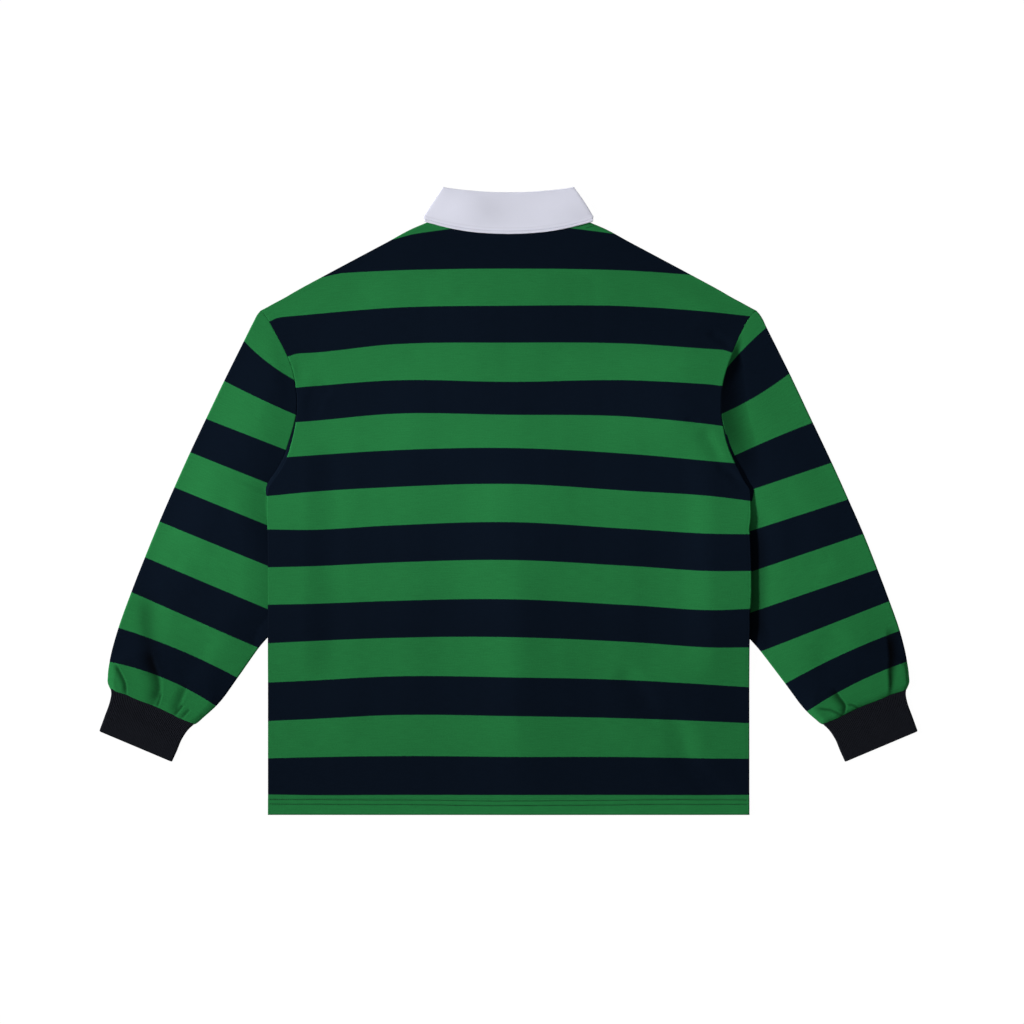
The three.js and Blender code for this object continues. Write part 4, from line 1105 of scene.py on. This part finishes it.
# The table gives sections from the middle of the back round to the front opening: how far along the fold
# each lies, its angle round the neck seam, its fold, a line just inside its edge and its free edge, and how
# far it has turned round the side of the neck.
COLLAR = {
    "at": [0, 22, 45, 64, 76, 79, 82, 85, 88, 116, 149, 187, 217],
    "round": [90, 74, 54, 30, 0, 0, 0, 0, 0, 18, 38, 60, 84],
    "fold_x": [0, 22, 45, 64, 75.8, 75.8, 75.8, 75.8, 75.8, 62, 44, 24, 8],
    "fold_y": [369.6, 370, 371.6, 373.6, 375.4, 375.4, 375.4, 375.4, 375.4, 350, 322, 290, 265],
    "line_x": [0, 27, 55, 80.6, 98.8, 98.8, 98.8, 98.8, 98.8, 81.4, 68.9, 55.9, 46.1],
    "line_y": [326.4, 327.4, 330.6, 335.6, 340.6, 340.6, 340.6, 340.6, 340.6, 305.2, 271.3, 237.3, 214.7],
    "edge_x": [0, 26, 54, 79, 98.4, 98.4, 98.4, 98.4, 98.4, 87.5, 75, 62, 50.5],
    "edge_y": [320, 320.9, 323.9, 329, 334.2, 334.2, 334.2, 334.2, 334.2, 303, 269, 235, 209],
    "turn": [0, 0, 0, 0, 0, 45, 90, 135, 180, 180, 180, 180, 180],
}
COLLAR_MIDDLE_Z = PLY * 2 - SEAM / 2
SIDE_OUT = (0.94, 0.34)  # away from the fold at the side of the neck
SIDE_PRESSED = 0.35  # below 1, the turn round the side of the neck is pressed flatter than a half circle
COLLAR_STITCH = {"pitch": 2.5, "long": 1.9, "radius": 0.26}
# The edge: from it to the row of stitches, to the end of the cloth that is turned in, and to the line that
# the sections give.
TURNED_EDGE = {"stitch": 3.4, "allowance": 7.2, "line": 6.5, "sunk": 0.28, "step": 0.4, "round": 0.7}
PUFFS = [  # where the fall stands off the back: place along it, how far that reaches, and height
    {"at": -42, "reach": 30, "high": 3.0},
    {"at": 72, "reach": 40, "high": 1.7},
    {"at": 4, "reach": 20, "high": 0.2},
]
TWILL_COLOUR = (0.815, 0.822, 0.94, 1)
TWILL = {"pitch": 0.9, "relief": 0.07}
WHITE_THREAD = (0.66, 0.66, 0.78, 1)


def twill_material():
    """Plain white twill, with fine slanting ribs, and a little painted shade over the stitched edge."""
    material, tree, shader = new_finish("white twill", 0.9, 0.2)
    across, along = number_on(tree, "across"), number_on(tree, "along")
    ribs = (across + along).wave(TWILL["pitch"]) * 0.5 + 0.5
    threads = (across - along * 1.5).wave(TWILL["pitch"] * 0.7) * 0.5 + 0.5
    patch = noise(tree, across * 0.03, along * 0.05, 3.0)
    slub = noise(tree, across * 0.8, along * 0.8, 3.0)
    edge = number_on(tree, "edge")
    # Painted shade along the row of stitches and at the step where the turned-in cloth ends.
    stitched = (1 - (edge - TURNED_EDGE["stitch"]).size() / 0.9).share()
    step = (1 - (edge - TURNED_EDGE["allowance"]).size() / 1.3).share()
    shade = 0.955 + patch * 0.035 + slub * 0.03 + ribs * 0.012 - stitched * 0.13 - step * 0.06
    colour = blend(tree, patch, TWILL_COLOUR, tuple(0.985 * c for c in TWILL_COLOUR[:3]) + (1,))
    tree.links.new(shaded(tree, colour, shade).socket, shader.inputs["Base Color"])
    raise_surface(tree, shader, ribs * 0.7 + threads * 0.3, TWILL["relief"])
    return material


twill = twill_material()


def collar():
    """The collar, the points of its stitched line, and how far it has turned at each."""
    half = np.concatenate([np.linspace(0, 76, 44), np.linspace(76, 88, 17)[1:],
                           np.linspace(88, 217, 60)[1:]])
    at = np.concatenate([-half[:0:-1], half])
    mirror = np.where(at < 0, -1, 1)[:, None]
    read = {key: smooth(COLLAR["at"], COLLAR[key], abs(at)) for key in COLLAR if key not in ("at", "turn")}
    turn = np.radians(np.interp(abs(at), COLLAR["at"], COLLAR["turn"]))[:, None]
    front = turn > math.radians(179)
    pressed_out = np.abs(np.sin(turn)) ** SIDE_PRESSED
    pressed_up = np.sign(np.cos(turn)) * np.abs(np.cos(turn)) ** SIDE_PRESSED
    drop = np.where(front, NECK["front_drop"], NECK["back_drop"])[:, 0]
    inset = NECK["half"] - np.where(front, 2 * SEAM, SEAM)[:, 0]
    lift = np.where(front, 2 * SEAM, SEAM)[:, 0]
    angle = np.radians(read["round"])
    neck = np.stack([inset * np.cos(angle), NECK["y"] + lift - drop * np.sin(angle)], -1)
    fold, line, edge = (np.stack([read[f"{key}_x"], read[f"{key}_y"]], -1)
                        for key in ("fold", "line", "edge"))
    bend = PLY / 2
    to_neck = (neck - fold) / np.linalg.norm(neck - fold, axis=1)[:, None]
    to_edge = (line - fold) / np.linalg.norm(line - fold, axis=1)[:, None]
    over = np.radians(np.linspace(-90, 90, 13))
    fall = np.linalg.norm(line - fold, axis=1)[:, None]
    falls = np.concatenate([[0.02, 0.05, 0.1, 0.18], np.linspace(0.26, 0.8, 10),
                            [0.86, 0.91, 0.95, 0.975, 1]])
    tips = np.array([0.12, 0.3, 0.42, 0.5, 0.58, 0.72, 0.86, 0.95, 1.0])
    from_edge = np.concatenate([fall * (1 - falls) + TURNED_EDGE["line"],
                                TURNED_EDGE["line"] * (1 - tips) + 0 * fall], 1)
    puffed = sum(p["high"] * np.exp(-(((at - p["at"]) / p["reach"]) ** 2)) for p in PUFFS)[:, None]

    def skin(sign):
        """One face of the cloth, across every section: up the stand, over the fold and down the fall."""
        r = bend + sign * CLOTH / 2

        def place(flat, level):
            """Spots of the flat collar set at a level, which turns outwards round the side of the neck."""
            out, up = level * pressed_out, level * pressed_up
            return xyz(mirror * (flat[..., 0] + out * SIDE_OUT[0]), flat[..., 1] + out * SIDE_OUT[1],
                       COLLAR_MIDDLE_Z + up)

        stand = neck[:, None] + (fold - neck)[:, None] * np.linspace(0, 0.96, 9)[None, :, None]
        swing = ((1 + np.sin(over)) / 2)[None, :, None]
        ways = to_neck[:, None] * (1 - swing) + to_edge[:, None] * swing
        roll = fold[:, None] + ways * (bend - r * np.cos(over))[None, :, None]
        lay = fold[:, None] + (line - fold)[:, None] * falls[None, :, None]
        tip = line[:, None] + (edge - line)[:, None] * tips[None, :, None]
        on_back = np.clip(np.cos(turn), 0, 1)
        high = np.concatenate([np.sin(math.pi * np.clip(falls, 0, 1)) ** 0.8, 0 * tips]) * puffed * on_back
        if sign > 0:
            sewn_line = TURNED_EDGE["sunk"] * np.exp(-(((from_edge - TURNED_EDGE["stitch"]) / 0.55) ** 2))
            step = TURNED_EDGE["step"] * smoothstep(from_edge, TURNED_EDGE["allowance"] - 0.9,
                                                    TURNED_EDGE["allowance"] + 0.9)
            high = high - sewn_line - step - rounded(from_edge, TURNED_EDGE["round"])
        return np.concatenate([place(stand, PLY - r + 0 * stand[..., 0]),
                               place(roll, PLY + r * np.sin(over)),
                               place(np.concatenate([lay, tip], 1), PLY + r + high)], 1)

    outside, inside = skin(1), skin(-1)
    steps = np.linalg.norm(np.diff(outside, axis=1), axis=2)
    across = np.concatenate([np.zeros((len(at), 1)), np.cumsum(steps, 1)], 1)
    plain = np.full((len(at), across.shape[1] - from_edge.shape[1]), 90.0)
    numbers = {"across": across, "along": np.broadcast_to(at[:, None], across.shape),
               "edge": np.concatenate([plain, from_edge], 1)}
    piece = wall("collar_twill", outside, inside, numbers, twill)
    share = 1 - TURNED_EDGE["stitch"] / TURNED_EDGE["line"]
    columns = outside[:, -len(tips):]
    k = int(np.searchsorted(tips, share))
    mix = (share - tips[k - 1]) / (tips[k] - tips[k - 1])
    return piece, columns[:, k - 1] * (1 - mix) + columns[:, k] * mix, turn[:, 0]


collar_piece, stitched_line, collar_turn = collar()
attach(collar_piece, "root")
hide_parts("collar")

white_thread = thread_material("white thread", WHITE_THREAD)
runs = []
for wanted, nudge in ((collar_turn < 0.01, 0.1), (collar_turn > 3.1, 0)):
    index = np.flatnonzero(wanted)
    for run in np.split(index, np.flatnonzero(np.diff(index) > 1) + 1):
        runs.append(stitched_line[run] + (0, 0, nudge))
collar_stitches = sewn("collar_stitches", runs, COLLAR_STITCH, white_thread, "twill")


# ---- Placket ----
# A strip of the collar's twill, sewn face down round its edge on the front below the neck opening, with a
# box of stitches at its foot and three worked buttonholes.
PLACKET = {"half": 16, "low": 84, "high": 250.5, "face_z": BUTTON_DEPTH + SEAM, "bevel": 0.6}
PLACKET_STITCH = {"pitch": 2.5, "long": 1.9, "radius": 0.24, "inset": 2.2, "sunk": 0.22, "box": 20}
BUTTONS_Y = (234, 178, 122)
BUTTONHOLE = {"half": 7.6, "off": 1.1, "pitch": 0.5, "reach": 0.8, "deep": 0.3}
BUTTONHOLE_STITCH = {"pitch": 1.0, "long": 1.7, "radius": 0.24}


def placket_face(x, y):
    """The face of the placket, which is underneath."""
    from_edge = np.minimum(np.minimum(PLACKET["half"] - abs(x), y - PLACKET["low"]), PLACKET["high"] - y)
    sewn_in = np.exp(-(((from_edge - PLACKET_STITCH["inset"]) / 0.6) ** 2)) * (y < PLACKET["high"] - 3)
    box = np.exp(-(((y - PLACKET["low"] - PLACKET_STITCH["box"]) / 0.6) ** 2))
    slit = np.exp(-((x / 0.7) ** 2)) * sum(abs(y - spot) < BUTTONHOLE["half"] for spot in BUTTONS_Y)
    return (PLACKET["face_z"] + rounded(from_edge, PLACKET["bevel"]) + BUTTONHOLE["deep"] * slit
            + PLACKET_STITCH["sunk"] * np.maximum(sewn_in, box))


half, steps = PLACKET["half"], np.array([0, 0.15, 0.4, 0.8, 1.3, 1.8, 2.2, 2.6, 3.2])
x = np.concatenate([-half + steps, np.linspace(-half + 4.2, half - 4.2, 41), (half - steps)[::-1]])
y = np.concatenate([PLACKET["low"] + steps, np.arange(PLACKET["low"] + 4.2, PLACKET["high"] - 4, 1.0),
                    (PLACKET["high"] - steps)[::-1]])
x, y = np.meshgrid(x, y)
placket = wall("placket_band", xyz(x, y, PLACKET["face_z"] + CLOTH), xyz(x, y, placket_face(x, y)),
               {"across": x, "along": y}, twill)
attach(placket, "root")
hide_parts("placket")


def placket_line(start, end):
    """A row of stitches on the placket's face from one spot to another."""
    x, y = (np.linspace(start[k], end[k], 60) for k in range(2))
    return xyz(x, y, placket_face(x, y))


inner = PLACKET["half"] - PLACKET_STITCH["inset"]
foot, box = PLACKET["low"] + PLACKET_STITCH["inset"], PLACKET["low"] + PLACKET_STITCH["box"]
rows = [((-inner, foot), (-inner, PLACKET["high"] - 1)), ((inner, foot), (inner, PLACKET["high"] - 1)),
        ((-inner, foot), (inner, foot)), ((-inner, box), (inner, box))]
run = {key: PLACKET_STITCH[key] for key in ("pitch", "long", "radius")}
placket_stitches = sewn("placket_stitches", [placket_line(*row) for row in rows], {**run, "dive": -0.6},
                        white_thread, "twill")
bars = []
for spot in BUTTONS_Y:
    for y in np.arange(spot - BUTTONHOLE["half"], spot + BUTTONHOLE["half"], BUTTONHOLE["pitch"]):
        for x in (-BUTTONHOLE["off"], BUTTONHOLE["off"]):
            bars.append(placket_line((x - BUTTONHOLE["reach"], y), (x + BUTTONHOLE["reach"], y)))
buttonholes = sewn("buttonhole_stitches", bars, {**BUTTONHOLE_STITCH, "dive": -0.6}, white_thread,
                   "twill")


# ---- Buttons ----
# Three turned buttons of pale resin on the placket, between it and the table. Each has a raised rim, a
# shallow dish with four holes, and two bars of white thread through them.
BUTTON = {"radius": 5.8, "rim": 1.4, "dish": 0.5, "hole": 0.72, "hole_off": 1.3, "hole_deep": 1.1,
          "round": 0.45, "round_top": 0.3}
BUTTON_RINGS, BUTTON_SIDES = 64, 120
RESIN_COLOUR = (0.77, 0.77, 0.79, 1)
RESIN_CLOUD = (0.66, 0.665, 0.70, 1)
BUTTON_THREAD = {"pitch": 2.0, "long": 2.9, "radius": 0.2, "strands": (-0.34, 0, 0.34), "reach": 1.55}


def resin_material():
    """Pale moulded resin, faintly clouded like shell and turned in fine rings."""
    material, tree, shader = new_finish("button resin", 0.32, 0.5)
    spot = Wire.node(tree, "ShaderNodeTexCoord", {}, {}, "Object")
    x, y = (Wire.node(tree, "ShaderNodeSeparateXYZ", {}, {0: spot}, k) * (1 / MM) for k in range(2))
    cloud = noise(tree, x * 0.35 + y * 0.1, y * 0.5, 4.0)
    tree.links.new(blend(tree, cloud, RESIN_COLOUR, RESIN_CLOUD).socket, shader.inputs["Base Color"])
    turned = number_on(tree, "across").wave(0.3) * 0.5
    raise_surface(tree, shader, turned + noise(tree, x * 3, y * 3), 0.012)
    return material


def button_height(x, y):
    """The button's face, which is underneath, as a height over the table."""
    radius = np.hypot(x, y)
    rim = BUTTON["radius"] - BUTTON["rim"]
    dish = BUTTON["dish"] * (1 - smoothstep(radius, rim - 0.5, rim + 0.1))
    holes = sum(1 - smoothstep(np.hypot(x - i * BUTTON["hole_off"], y - j * BUTTON["hole_off"]),
                               BUTTON["hole"] - 0.12, BUTTON["hole"] + 0.1) for i in (-1, 1) for j in (-1, 1))
    return dish + holes * BUTTON["hole_deep"] + rounded(BUTTON["radius"] - radius, BUTTON["round"])


resin = resin_material()
strands, buttons = [], []
for n, spot in enumerate(BUTTONS_Y, 1):
    radius = np.concatenate([np.linspace(0.02, 5.2, BUTTON_RINGS),
                             BUTTON["radius"] - np.array([0.4, 0.2, 0.06, 0])])
    angle = np.linspace(0, 2 * math.pi, BUTTON_SIDES, endpoint=False)
    x, y = radius[:, None] * np.cos(angle), radius[:, None] * np.sin(angle)
    top = BUTTON_DEPTH - rounded(BUTTON["radius"] - radius, BUTTON["round_top"])[:, None] + 0 * x
    ring = np.broadcast_to(radius[:, None], x.shape)
    button = wall(f"button_{n}_resin", xyz(x, spot + y, top), xyz(x, spot + y, button_height(x, y)),
                  {"across": ring}, resin, ring=True)
    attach(button, "root")
    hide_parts(f"button_{n}")
    buttons.append(button)
    for side in (-1, 1):
        for strand in BUTTON_THREAD["strands"]:
            x = np.linspace(-BUTTON_THREAD["reach"], BUTTON_THREAD["reach"], 9)
            bar = np.full_like(x, spot + side * BUTTON["hole_off"] + strand)
            strands.append(xyz(x, bar, BUTTON["dish"] - 0.12 + 0.25 * (x / BUTTON_THREAD["reach"]) ** 2))
run = {key: BUTTON_THREAD[key] for key in ("pitch", "long", "radius")}
sewn("button_threads", strands, {**run, "dive": -1.5}, white_thread, "twill")
